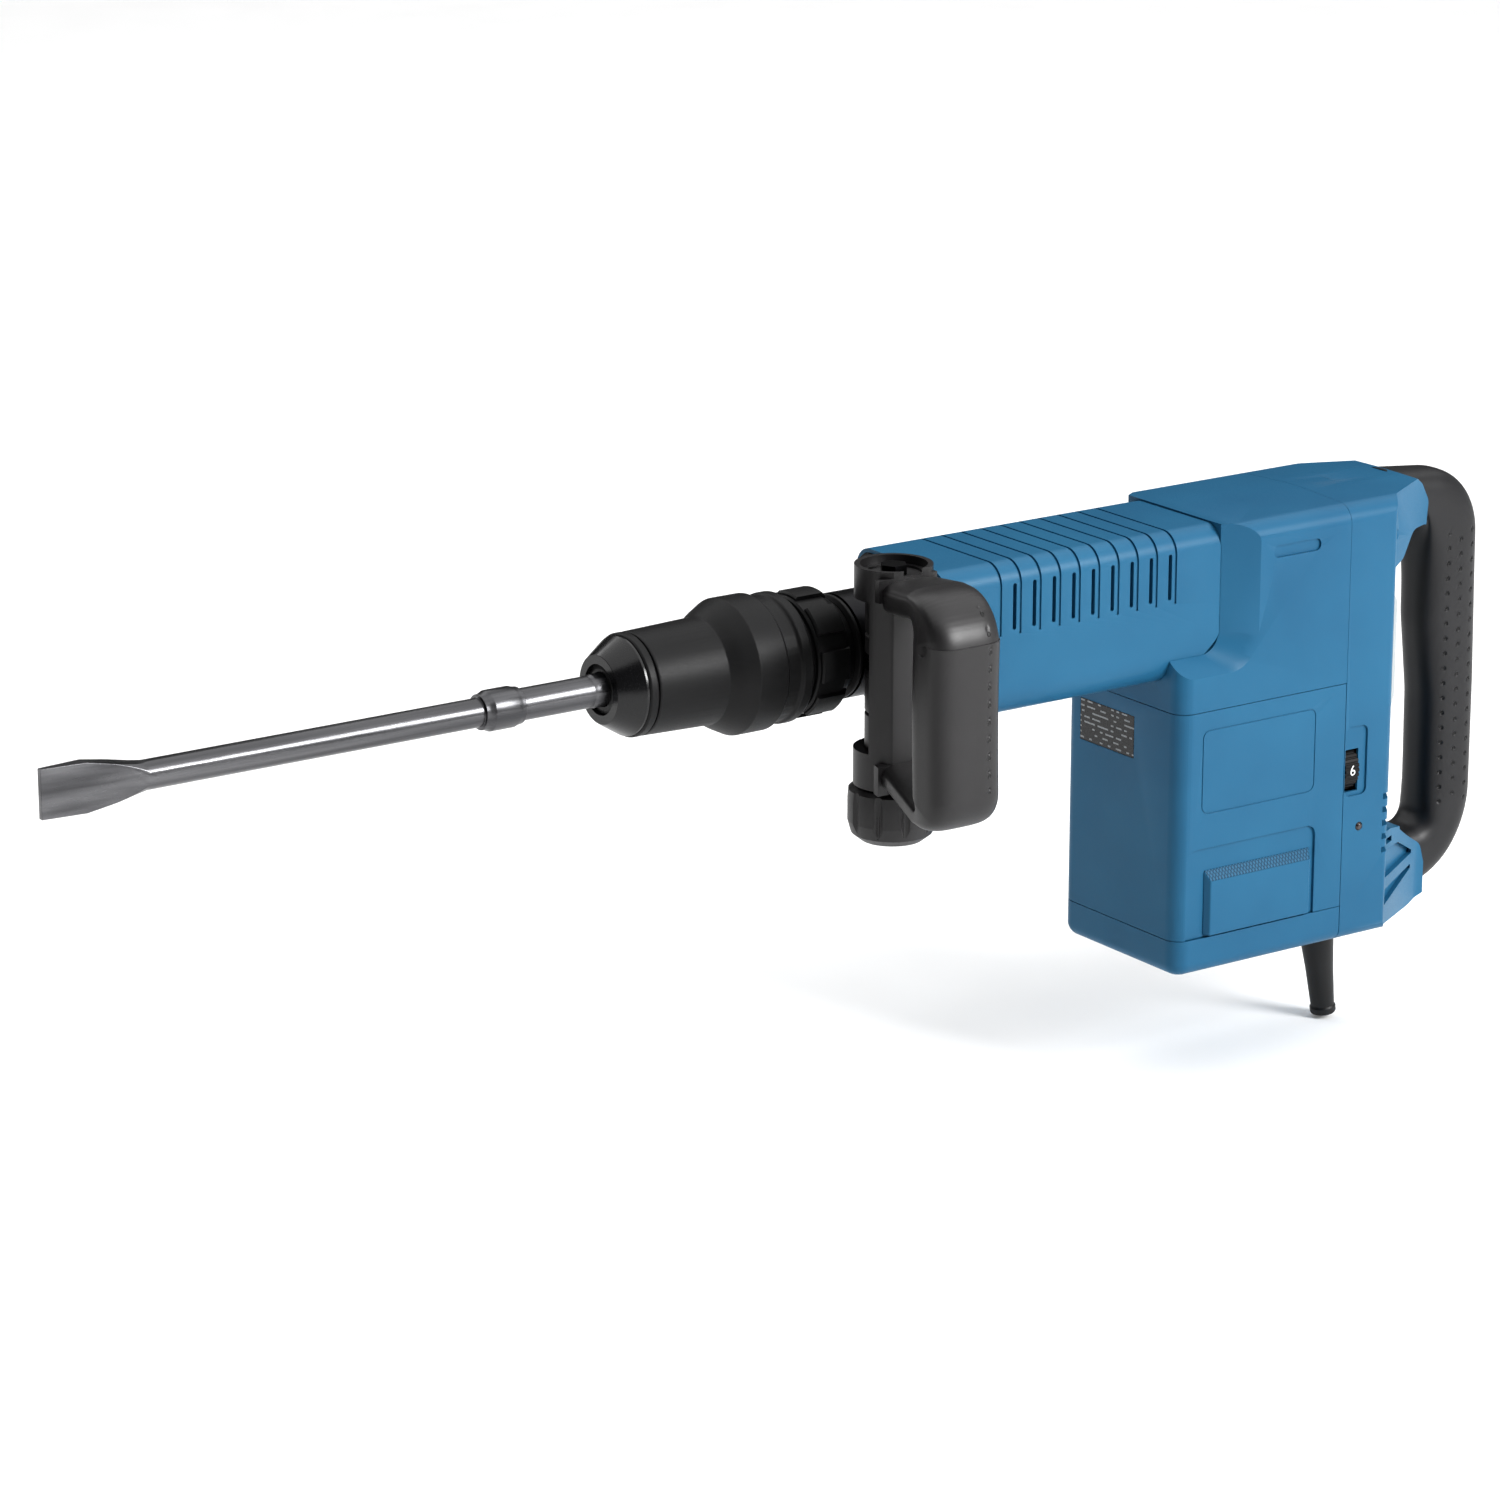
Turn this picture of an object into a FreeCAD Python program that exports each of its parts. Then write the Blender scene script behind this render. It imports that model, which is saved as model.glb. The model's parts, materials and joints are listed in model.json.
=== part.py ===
"""Electric jackhammer, as an assembly of separate pieces.

Millimetres, +Z up. The hammer axis is the X axis, the chisel points to -X, and the origin is the centre
of the tool holder's mouth. Each piece is written to parts/NAME.step.
"""
import FreeCAD, Part
import math
import os

os.makedirs("parts", exist_ok=True)
V = FreeCAD.Vector

# ---------------------------------------------------------------- driving dimensions
SEAT = 0.3            # gap between pieces that lie against each other
RUN = 0.05            # radial clearance of a running fit
JOIN = 0.2            # gap between two shells at a parting line
WALL = 3.0            # plastic shell thickness

# chisel
TIP_X = -326.0
BLADE_W = 26.0
STEM_R = 7.7
COLLAR_X = (-74.0, -50.0)
COLLAR_R = 10.9
NECK_SHANK_R = 8.5
SHANK_R = 9.0
SHANK_END = 78.0
CHISEL_TRAVEL = 12.0

# tool holder and chuck
HOLDER_R = 14.0
HOLDER_X = 5.0
CAP_MOUTH_R = 13.6
CAP_X = (0.0, 14.5)
CAP_R = 26.7
SLEEVE_X = (20.5, 97.0)
SLEEVE_R = 28.0
SLEEVE_RING_R = 37.0
SLEEVE_TRAVEL = 7.0
SPRING_SEAT_X = 62.0
COVER_X = 84.0
COVER_R = 34.0
ROLLER_R = 3.5
ROLLER_X = 48.0
ROLLER_LIFT = 2.8
ROLLER_HALF = 5.0
ROLLER_DEPTH = 2.4
ANGLE_RING_X = (118.0, 146.0)
ANGLE_RING_R = 34.5
ANGLE_RING_PADS = 8

# hammer mechanism
NECK_X = 150.0
NECK_R = 25.0
NECK_BORE_R = 19.0
TUBE_BORE_R = 16.0
TUBE_X = (178.0, 340.0)
TAIL_R = 9.5
BEAT_R = 14.0
STRIKER_X = (238.0, 268.0)
STRIKER_TRAVEL = 30.0
PISTON_FRONT = 303.0
PISTON_LENGTH = 34.0
STROKE = 32.0
ROD_LENGTH = 75.0
MODULE = 1.25
PINION_TEETH = 12
GEAR_TEETH = 48
BACKLASH = 0.12

# motor
MOTOR_X = 424.0
STATOR_R = 43.0
STATOR_BORE_R = 27.0
STATOR_Z = (-165.0, -105.0)
MOTOR_SHAFT_R = 5.0
BEARING_R = 13.0

# casing
BARREL_X = (195.0, 389.0)
BARREL_HALF = 41.0
BARREL_TOP = 41.0
BARREL_BOTTOM = -46.0
BODY_HALF = 52.0
BODY_FRONT = 349.0
SEAM_X = 469.0
REAR_X = 518.0
REAR_SIDE_X = 503.0
REAR_HALF = 30.5
BODY_TOP = 44.0
PARTING_Z = -60.5
SHOULDER_IN = (383.5, -31.0, 12.0)     # where the block leaves the barrel's side: X, Z, corner radius
SHOULDER_OUT = (403.5, -40.5, 20.0)    # where it reaches its full width
CORNER_R = 10.0
BASE_Z = -192.5
BOTTOM_Z = -214.0
VENTS = 9
VENT_PITCH = 13.4
VENT_X = 239.7
VENT_Z = (4.0, 30.0)
VENT_W = 2.4

# rear handle
GRIP_HALF = 17.0
GRIP_OUTER_X = 603.0
GRIP_INNER_X = 565.0
PADDLE_X = (520.0, 530.0)
PADDLE_HALF = 24.0
PADDLE_Z = (-92.0, -15.0)

# side handle
BOLT_X = 157.0
BOLT_Y = -45.0
BOLT_R = 4.0
HUB_R = 21.0
HUB_Z = (-66.0, 50.0)
HUB_WINDOW_Z = (-46.0, 37.0)
BAND_X = (150.8, 171.5)
BAND_T = 3.5
SIDE_BAR_X = 144.0
SIDE_BAR_Y = -117.0
SIDE_BAR_R = 15.5
SIDE_BAR_Z = (-77.0, 64.0)
KNOB_R = 24.0
KNOB_Z = (-97.0, -67.0)

# values that follow
CRANK_X = MOTOR_X - MODULE * (PINION_TEETH + GEAR_TEETH) / 2
PIN_OFFSET = STROKE / 2
PISTON_PIN_X = CRANK_X + PIN_OFFSET - ROD_LENGTH
BAND_R = NECK_R + SEAT + BAND_T
TAIL_END = STRIKER_X[0] - STRIKER_TRAVEL - 36.0
INNER = BODY_HALF - WALL
ROLLER_CENTRE = SHANK_R - ROLLER_DEPTH + ROLLER_R + 0.1

# crankshaft, gearbox and motor
CRANK_TOP = -8.0
DISC_H = 7.0
UPPER_BEARING_Z = (-27.0, -18.0)
GEAR_Z = (-42.0, -31.0)
LOWER_BEARING_Z = (-56.0, -47.0)
CRANK_SHAFT_R = 6.0
CHAMBER_X = (TUBE_X[1] + 2.0, 437.0)
CHAMBER_HALF = BARREL_HALF - WALL - 0.5
CHAMBER_WALL = 4.0
CHAMBER_TOP = 27.0
CHAMBER_FLOOR = (-28.0, -17.5)
PLATE_Z = (-57.0, -46.5)
LOW_ROOM_X = BODY_FRONT + WALL + 0.5
COVER_HOLES = [(x, y) for x in (CHAMBER_X[0] + 4, CHAMBER_X[1] - 10) for y in (-32.0, 32.0)]
SHAFT_Z = (-209.0, -29.0)
FAN_Z = (-88.0, -72.0)
COMMUTATOR_Z = (-192.0, -178.0)
LOW_BEARING_Z = (-207.0, -200.0)
LOW_BEARING_R = 11.0
BRUSH_Z = (-190.0, -180.0)

# casing details and handle outlines
COLLAR_SECTION = [(-BARREL_HALF + 2.2, BARREL_TOP - 2.2, 10), (BARREL_HALF - 2.2, BARREL_TOP - 2.2, 10),
                  (BARREL_HALF - 2.2, BARREL_BOTTOM + 2.2, 16), (-BARREL_HALF + 2.2, BARREL_BOTTOM + 2.2, 16)]
COLLAR_HOLES = [(y, z) for y in (-29.5, 29.5) for z in (-32.0, 29.5)]
PANEL_X = (356.0, 449.0)
PANEL_Z = (-205.0, -140.0)
BASE_HOLES = [(x, y) for x in (BODY_FRONT + 14, SEAM_X - 12) for y in (-38.0, 38.0)]
DIAL_X = 475.0
DIAL_Z = -113.0
DIAL_R = 14.5
DIAL_Y = -BODY_HALF + DIAL_R - 0.8
BOOT_X = 494.0
BOOT_TOP = BOTTOM_Z + WALL + 6.3
BOOT_LEAN = 8.0
HANDLE_OUTER = [(495, 44.8), (530, 45.2, 60), (GRIP_OUTER_X, 40, 34),
                (GRIP_OUTER_X, BOTTOM_Z, 60), (495, BOTTOM_Z)]
HANDLE_INNER = [(490, -152), (531, -161, 20), (556, -174, 12), (GRIP_INNER_X + 3, -172, 8),
                (GRIP_INNER_X + 2, -110, 80), (GRIP_INNER_X - 4, -50, 60), (GRIP_INNER_X - 4, 13, 12),
                (536, 14.5, 10), (522, 1, 8), (490, -6)]
SEAM_CUT = [(520, 60), (533, 47), (546, 39, 8), (556, 27, 6), (554, 12), (GRIP_INNER_X - 12, -80),
            (528, -150), (531, -163), (541, -169.5), (559, -180, 8), (562.5, -192), (562.5, -230), (700, -230),
            (700, 60)]
ARM_PLAN = [(495, -BODY_HALF + 4), (508, -BODY_HALF + 8, 10), (556, -GRIP_HALF - 1, 12), (575, -GRIP_HALF),
            (575, GRIP_HALF), (556, GRIP_HALF + 1, 12), (508, BODY_HALF - 8, 10), (495, BODY_HALF - 4)]
RECESS_DEEP = 3.5
RECESSES = [[(500, -168), (529, -170), (549, -181), (549, -183), (500, -187)],
            [(500, -194), (548, -189.5), (548, -192), (500, -206)]]
REAR_HOLES = [(y, z) for y in (-44.5, 44.5) for z in (-176.0, 18.0)]

# controls and cord entry
PIN_X = 512.0
PIN_Z = PADDLE_Z[1] - 6.0
SWITCH_X = (478.0, 504.0)
BOOT_LENGTH = 74.0
CORD_R = 4.6

# clamp bushes and the core of the side handle's bar
EAR_R = 15.0
CORE_X = (SIDE_BAR_X - 6.5, SIDE_BAR_X + 6.5)
CORE_Z = (-66.0, 54.0)


# ---------------------------------------------------------------- shape helpers
def box(x, y, z):
    """A box between three (low, high) pairs."""
    return Part.makeBox(x[1] - x[0], y[1] - y[0], z[1] - z[0], V(x[0], y[0], z[0]))


def cylinder(axis, r, span, across=(0.0, 0.0)):
    """A cylinder along "x", "y" or "z"; across holds its two other coordinates, in X, Y, Z order."""
    a, b = across
    start = {"x": V(span[0], a, b), "y": V(a, span[0], b), "z": V(a, b, span[0])}[axis]
    direction = {"x": V(1, 0, 0), "y": V(0, 1, 0), "z": V(0, 0, 1)}[axis]
    return Part.makeCylinder(r, span[1] - span[0], start, direction)


def pipe(axis, r_in, r_out, span, across=(0.0, 0.0)):
    return cylinder(axis, r_out, span, across).cut(cylinder(axis, r_in, span, across))


def turned(profile):
    """A closed (x, r) profile revolved about the X axis."""
    points = [V(x, 0, r) for x, r in profile]
    return Part.Face(Part.makePolygon(points + points[:1])).revolve(V(0, 0, 0), V(1, 0, 0), 360)


def turned_z(profile, x, y):
    """A closed (r, z) profile revolved about the vertical line through x, y."""
    points = [V(x + r, y, z) for r, z in profile]
    return Part.Face(Part.makePolygon(points + points[:1])).revolve(V(x, y, 0), V(0, 0, 1), 360)


def place(plane, u, v, w):
    return {"xz": V(u, w, v), "xy": V(u, v, w), "yz": V(w, u, v)}[plane]


def outline(plane, corners, w):
    """A closed face in a plane; each corner is (u, v) or (u, v, radius of its arc)."""
    edges = []
    last = None
    first = None
    count = len(corners)
    for i in range(count):
        here = V(corners[i][0], corners[i][1], 0)
        radius = corners[i][2] if len(corners[i]) > 2 else 0.0
        if radius:
            to_before = (V(corners[i - 1][0], corners[i - 1][1], 0) - here).normalize()
            after = corners[(i + 1) % count]
            to_after = (V(after[0], after[1], 0) - here).normalize()
            half = math.acos(max(-1.0, min(1.0, to_before.dot(to_after)))) / 2
            reach = radius / math.tan(half)
            start = here + to_before * reach
            end = here + to_after * reach
            centre_way = (to_before + to_after).normalize()
            middle = here + centre_way * (radius / math.sin(half) - radius)
        else:
            start = end = here
            middle = None
        start3 = place(plane, start.x, start.y, w)
        end3 = place(plane, end.x, end.y, w)
        if last is not None and (start3 - last).Length > 1e-6:
            edges.append(Part.LineSegment(last, start3).toShape())
        if middle is not None:
            middle3 = place(plane, middle.x, middle.y, w)
            edges.append(Part.Arc(start3, middle3, end3).toShape())
        first = start3 if first is None else first
        last = end3
    if (first - last).Length > 1e-6:
        edges.append(Part.LineSegment(last, first).toShape())
    return Part.Face(Part.Wire(edges))


def plate(plane, corners, span):
    """A rounded outline pushed through from span[0] to span[1] along the plane's normal."""
    push = place(plane, 0, 0, span[1] - span[0])
    return outline(plane, corners, span[0]).extrude(push)


def rectangle(u, v, radius=0.0):
    return [(u[0], v[0], radius), (u[1], v[0], radius), (u[1], v[1], radius), (u[0], v[1], radius)]


def rounded_box(x, y, z, radius, axis="z"):
    """A box whose four edges along one axis are rounded."""
    if axis == "z":
        return plate("xy", rectangle(x, y, radius), z)
    if axis == "x":
        return plate("yz", rectangle(y, z, radius), x)
    return plate("xz", rectangle(x, z, radius), y)


def joined(shapes):
    shapes = list(shapes)
    return shapes[0].multiFuse(shapes[1:]).removeSplitter() if len(shapes) > 1 else shapes[0]


def less(shape, cutters):
    return shape.cut(list(cutters))


def around(shape, count, centre, direction, start=0.0):
    """Copies of a shape turned evenly about an axis."""
    copies = []
    for i in range(count):
        copy = shape.copy()
        copy.rotate(centre, direction, start + 360.0 * i / count)
        copies.append(copy)
    return copies


def slanted(x, y, z_low, z_high, r, lean_deg):
    """A cylinder whose lower end is moved to +X by its lean."""
    length = (z_high - z_low) / math.cos(math.radians(lean_deg))
    way = V(math.sin(math.radians(lean_deg)), 0, -math.cos(math.radians(lean_deg)))
    return Part.makeCylinder(r, length, V(x, y, z_high), way)


def coil(axis_start, direction, r_mid, wire_r, length, turns):
    """A closed helical spring along a direction."""
    path = Part.makeHelix((length - 2 * wire_r) / turns, length - 2 * wire_r, r_mid)
    ring = Part.Wire(Part.makeCircle(wire_r, V(r_mid, 0, 0), V(0, 1, 0)))
    solid = Part.Wire(path).makePipeShell([ring], True, True)
    solid.translate(V(0, 0, wire_r))
    solid.Placement = FreeCAD.Placement(axis_start, FreeCAD.Rotation(V(0, 0, 1), direction)).multiply(solid.Placement)
    return solid


def gear(teeth, z, x, turn_deg):
    """An involute spur gear with stub teeth, 25 degree pressure angle, axis vertical."""
    pitch_r = MODULE * teeth / 2
    base_r = pitch_r * math.cos(math.radians(25))
    tip_r = pitch_r + 0.8 * MODULE
    root_r = pitch_r - 1.05 * MODULE
    start_r = max(base_r, root_r)

    def unwound(r):
        angle = math.acos(min(1.0, base_r / r))
        return math.tan(angle) - angle

    half_tooth = math.pi / (2 * teeth) - BACKLASH / (2 * pitch_r) + unwound(pitch_r)
    steps = [start_r + (tip_r - start_r) * k / 4 for k in range(5)]
    flank = [(r, half_tooth - unwound(r)) for r in steps]
    if start_r > root_r:
        flank.insert(0, (root_r, flank[0][1]))
    points = []
    for tooth in range(teeth):
        centre = 2 * math.pi * tooth / teeth + math.radians(turn_deg)
        for r, a in flank:
            points.append(V(x + r * math.cos(centre - a), r * math.sin(centre - a), z[0]))
        for r, a in reversed(flank):
            points.append(V(x + r * math.cos(centre + a), r * math.sin(centre + a), z[0]))
    return Part.Face(Part.makePolygon(points + points[:1])).extrude(V(0, 0, z[1] - z[0]))


def screw(head_at, direction, head_r, head_h, shank_r, length, socket=True):
    """A pan-head screw: its head lies outward of head_at and its shank goes the other way."""
    head = Part.makeCylinder(head_r, head_h, head_at, direction)
    shank = Part.makeCylinder(shank_r, length, head_at, direction * -1)
    body = head.fuse(shank)
    if socket:
        key = Part.makeCylinder(head_r * 0.5, head_h * 0.6, head_at + direction * (head_h * 0.4), direction)
        body = body.cut(key)
    return body


def export(name, shape):
    """Write one piece, one solid or a group of them, to its own file."""
    pieces = shape.Solids
    (pieces[0] if len(pieces) == 1 else Part.makeCompound(pieces)).exportStep("parts/" + name + ".step")
    print(name, len(pieces), "valid" if shape.isValid() else "NOT VALID")


# ---------------------------------------------------------------- chisel
def make_chisel():
    collar = turned([(COLLAR_X[0], 0), (COLLAR_X[0], 9.4), (COLLAR_X[0] + 3, 9.8), (COLLAR_X[0] + 5, COLLAR_R),
                     (COLLAR_X[1] - 5, COLLAR_R), (COLLAR_X[1] - 3, 10.2), (COLLAR_X[1], 9.8), (COLLAR_X[1], 0)])
    thin = 1.6
    thick_x = TIP_X + 66
    thick = STEM_R + 0.2
    wedge = plate("xy", [(TIP_X, -thin), (thick_x, -thick), (COLLAR_X[0] + 1, -thick - 1),
                         (COLLAR_X[0] + 1, thick + 1),
                         (thick_x, thick), (TIP_X, thin)], (-20, 20))
    stem = cylinder("x", STEM_R, (TIP_X + 2, COLLAR_X[0] + 1))
    neck = STEM_R - 0.4
    sides = plate("xz", [(TIP_X, -BLADE_W / 2), (TIP_X + 24, -BLADE_W / 2), (TIP_X + 54, -neck, 40),
                         (TIP_X + 64, -neck), (TIP_X + 64, neck), (TIP_X + 54, neck, 40),
                         (TIP_X + 24, BLADE_W / 2), (TIP_X, BLADE_W / 2)], (-14, 14))
    cone = turned([(TIP_X - 1, 0), (TIP_X - 1, 16), (TIP_X + 24, 14.4), (TIP_X + 60, neck - 0.1),
                   (TIP_X + 65, neck - 0.1), (TIP_X + 65, 0)])
    shank = turned([(COLLAR_X[1] - 1, 0), (COLLAR_X[1] - 1, NECK_SHANK_R), (-7, NECK_SHANK_R), (-5, SHANK_R),
                    (SHANK_END - 1.5, SHANK_R), (SHANK_END, SHANK_R - 1.5), (SHANK_END, 0)])
    solid = joined([stem.common(wedge), sides.common(cone).common(wedge), collar, shank])
    floor = SHANK_R - ROLLER_DEPTH
    pocket_x = (ROLLER_X - ROLLER_R - SEAT, ROLLER_X + ROLLER_R + CHISEL_TRAVEL + SEAT)
    pockets = [box(pocket_x, (-SHANK_R, SHANK_R), (floor, SHANK_R + 1)),
               box(pocket_x, (-SHANK_R, SHANK_R), (-SHANK_R - 1, -floor))]
    keyways = around(box((28, SHANK_END + 1), (5.8, SHANK_R + 1), (-2.5, 2.5)), 2, V(0, 0, 0), V(1, 0, 0))
    return less(solid, pockets + keyways)


# ---------------------------------------------------------------- tool holder and chuck
def make_tool_holder():
    body = turned([(HOLDER_X, SHANK_R + RUN), (HOLDER_X, HOLDER_R), (88, HOLDER_R), (90, 18), (NECK_X, 18),
                   (NECK_X, NECK_BORE_R), (168, NECK_BORE_R), (168, BEAT_R + RUN), (91.5, BEAT_R + RUN),
                   (91.5, SHANK_R + RUN)])
    window_x = (ROLLER_X - ROLLER_R - RUN, ROLLER_X + ROLLER_R + RUN)
    window_y = (-ROLLER_HALF - RUN, ROLLER_HALF + RUN)
    windows = [box(window_x, window_y, (SHANK_R - 5, 20)), box(window_x, window_y, (-20, 5 - SHANK_R))]
    key = box((30, SHANK_END - CHISEL_TRAVEL - 2), (5.8 + SEAT, SHANK_R + 1), (-2.5 + SEAT, 2.5 - SEAT))
    keys = around(key, 2, V(0, 0, 0), V(1, 0, 0))
    return joined([less(body, windows)] + keys)


def make_locking_rollers():
    span = (-ROLLER_HALF, ROLLER_HALF)
    return [cylinder("y", ROLLER_R, span, (ROLLER_X, side * ROLLER_CENTRE)) for side in (1, -1)]


def make_dust_cap():
    return turned([(CAP_X[0], CAP_MOUTH_R), (CAP_X[0], 18.5), (3, 20.5), (CAP_X[1] - 1.5, CAP_R),
                   (CAP_X[1], CAP_R), (CAP_X[1], HOLDER_R + RUN), (HOLDER_X - SEAT, HOLDER_R + RUN),
                   (HOLDER_X - SEAT, CAP_MOUTH_R)])


def make_shank_seal():
    return turned([(1.5, SHANK_R + 0.4), (1.5, 11), (2.5, CAP_MOUTH_R - RUN),
                   (HOLDER_X - SEAT, CAP_MOUTH_R - RUN), (HOLDER_X - SEAT, 11), (3.2, SHANK_R + 0.4)])


def make_cap_ring():
    return turned([(CAP_X[1], HOLDER_R + RUN), (CAP_X[1], 27.0), (15.5, 27.8), (19.2, 27.8),
                   (SLEEVE_X[0] - SEAT, 27.0), (SLEEVE_X[0] - SEAT, HOLDER_R + RUN)])


def make_locking_sleeve():
    """Outside: grip, flare and thick ring. Inside: the ramp that holds the rollers down."""
    x0, x1 = SLEEVE_X
    slope = ROLLER_LIFT / SLEEVE_TRAVEL
    top = ROLLER_CENTRE + ROLLER_R / math.cos(math.atan(slope))
    seat_r = math.hypot(top, ROLLER_HALF) + SEAT / 2

    def ramp(x):
        return seat_r - slope * (x - ROLLER_X)

    skirt = COVER_X - SLEEVE_TRAVEL - 0.5
    ramp_front = ROLLER_X - SLEEVE_TRAVEL - ROLLER_R - 2
    ramp_back = ROLLER_X + (seat_r - HOLDER_R - SEAT) / slope
    return turned([(x0, HOLDER_R + SEAT), (x0, SLEEVE_R - 0.6), (x0 + 1, SLEEVE_R - 0.2), (63.5, SLEEVE_R + 1),
                   (70, 33), (76, 36), (78, SLEEVE_RING_R), (x1 - 1.5, SLEEVE_RING_R), (x1, SLEEVE_RING_R - 1.5),
                   (x1, COVER_R + 0.4), (skirt, COVER_R + 0.4), (skirt, 24.5), (SPRING_SEAT_X, 24.5),
                   (SPRING_SEAT_X, HOLDER_R + SEAT),
                   (ramp_back, HOLDER_R + SEAT), (ramp_front, ramp(ramp_front)), (ramp_front, HOLDER_R + SEAT)])


def make_sleeve_spring():
    length = COVER_X - SPRING_SEAT_X - 2 * SEAT
    return coil(V(SPRING_SEAT_X + SEAT, 0, 0), V(1, 0, 0), 20.5, 1.2, length, 4)


def make_holder_cover():
    """The fixed black ring behind the sleeve, with the valley that the sleeve's skirt slides over."""
    x = COVER_X
    return turned([(x, HOLDER_R + SEAT), (x, COVER_R - 4), (x + 2, COVER_R), (105.5, COVER_R), (107, COVER_R + 1.5),
                   (112.5, COVER_R + 1.5), (114, COVER_R), (114, 29.5), (121.5, 29.5), (121.5, 18 + RUN),
                   (90, 18 + RUN), (88, HOLDER_R + SEAT)])


def make_angle_ring():
    """A ring with raised pads. It slides forward to free the tool holder's turning."""
    x0, x1 = ANGLE_RING_X
    r = ANGLE_RING_R
    body = turned([(x0, 30), (x0, r - 3), (x0 + 1, r - 2), (x1 - 10, r - 2), (x1 - 6, r - 4), (x1, 26),
                   (x1, 18 + SEAT), (126, 18 + SEAT), (126, 30)])
    pad = turned([(x0 + 1.5, r - 4), (x0 + 1.5, r - 1), (x0 + 2.5, r), (x1 - 9, r), (x1 - 7, r - 2.5),
                  (x1 - 7, r - 4)])
    width = 2 * math.pi * r / ANGLE_RING_PADS * 0.62
    pads = around(pad.common(box((x0, x1), (-width / 2, width / 2), (0, r + 1))), ANGLE_RING_PADS,
                  V(0, 0, 0), V(1, 0, 0))
    return joined([body] + pads)


def make_neck_ring():
    return turned([(ANGLE_RING_X[1] + SEAT, 18 + SEAT), (ANGLE_RING_X[1] + SEAT, 25.5), (NECK_X - 2.2, 28.5),
                   (NECK_X - SEAT, 28.5), (NECK_X - SEAT, 18 + SEAT)])


# ---------------------------------------------------------------- hammer mechanism
def make_beat_piece():
    front = SHANK_END + SEAT
    shoulder = 91.5 + CHISEL_TRAVEL + 0.5
    return turned([(front, 0), (front, SHANK_R - 2), (front + 2, SHANK_R), (shoulder, SHANK_R),
                   (shoulder, BEAT_R - 1), (shoulder + 1, BEAT_R), (shoulder + 24, BEAT_R), (shoulder + 28, TAIL_R),
                   (TAIL_END - 1.5, TAIL_R), (TAIL_END, TAIL_R - 1.5), (TAIL_END, 0)])


def make_beat_guide_ring():
    return turned([(168 + SEAT, TAIL_R + RUN), (168 + SEAT, NECK_BORE_R), (TUBE_X[0], NECK_BORE_R),
                   (TUBE_X[0], TAIL_R + RUN)])


def make_hammer_tube():
    tube = pipe("x", TUBE_BORE_R, NECK_BORE_R, TUBE_X)
    ports = around(cylinder("z", 2.5, (0, 30), (TUBE_X[1] - 75, 0)), 6, V(0, 0, 0), V(1, 0, 0), 30)
    return less(tube, ports)


def plunger(front, back, groove):
    """A plunger in the hammer tube with a groove for its seal ring."""
    r = TUBE_BORE_R - RUN
    return turned([(front, 0), (front, r - 1), (front + 1, r), (groove - 2, r), (groove - 2, r - 2.5),
                   (groove + 2, r - 2.5), (groove + 2, r), (back - 1, r), (back, r - 1), (back, 0)])


def seal_ring(groove):
    r = TUBE_BORE_R - RUN
    return pipe("x", r - 2.4, r, (groove - 1.9, groove + 1.9))


def make_striker():
    nose = turned([(TAIL_END + STRIKER_TRAVEL + 1, 0), (TAIL_END + STRIKER_TRAVEL + 1, 7.5),
                   (TAIL_END + STRIKER_TRAVEL + 3, 9.0), (STRIKER_X[0] + 1, 9.0), (STRIKER_X[0] + 1, 0)])
    return joined([plunger(STRIKER_X[0], STRIKER_X[1], STRIKER_X[0] + 20), nose])


def make_piston():
    back = PISTON_FRONT + PISTON_LENGTH
    body = plunger(PISTON_FRONT, back, PISTON_FRONT + 6)
    slot = box((PISTON_FRONT + 11, back + 1), (-20, 20), (-6.5, 6.5))
    pin = cylinder("z", 4.0 + 0.02, (-20, 20), (PISTON_PIN_X, 0))
    return less(body, [slot, pin])


def make_piston_pin():
    return cylinder("z", 4.0, (-14, 14), (PISTON_PIN_X, 0))


def make_connecting_rod():
    small = cylinder("z", 8, (-6, 6), (PISTON_PIN_X, 0))
    big = cylinder("z", 12.5, (-6, 6), (CRANK_X + PIN_OFFSET, 0))
    web = box((PISTON_PIN_X, CRANK_X + PIN_OFFSET), (-4.5, 4.5), (-6, 6))
    holes = [cylinder("z", 4.0 + 0.02, (-7, 7), (PISTON_PIN_X, 0)),
             cylinder("z", 8.0, (-7, 7), (CRANK_X + PIN_OFFSET, 0))]
    return less(joined([small, big, web]), holes)


def make_crank_pin_bearing():
    return pipe("z", 5.02, 8.0, (-6, 6), (CRANK_X + PIN_OFFSET, 0))


def make_crank_pin():
    return cylinder("z", 5.0, (CRANK_TOP + 0.5, 8), (CRANK_X + PIN_OFFSET, 0))


def make_crankshaft():
    disc = cylinder("z", PIN_OFFSET + 8, (CRANK_TOP - DISC_H, CRANK_TOP), (CRANK_X, 0))
    neck = cylinder("z", 9.0, (UPPER_BEARING_Z[1] + 0.1, CRANK_TOP), (CRANK_X, 0))
    shaft = cylinder("z", CRANK_SHAFT_R, (LOWER_BEARING_Z[0], CRANK_TOP), (CRANK_X, 0))
    return joined([disc, neck, shaft])


def make_crank_gear():
    body = gear(GEAR_TEETH, GEAR_Z, CRANK_X, 0.0)
    holes = around(cylinder("z", 4.5, GEAR_Z, (CRANK_X + 17, 0)), 6, V(CRANK_X, 0, 0), V(0, 0, 1), 30)
    return less(body, holes + [cylinder("z", CRANK_SHAFT_R, GEAR_Z, (CRANK_X, 0))])


def bearing(r_in, r_out, z, x):
    """A ball bearing as one solid: two rings joined by the ball cage."""
    low, high = z
    third = (r_out - r_in) / 3
    rings = [pipe("z", r_in, r_in + third, z, (x, 0)), pipe("z", r_out - third, r_out, z, (x, 0))]
    cage = pipe("z", r_in + third, r_out - third, (low + 1, high - 1), (x, 0))
    return joined(rings + [cage])


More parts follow.
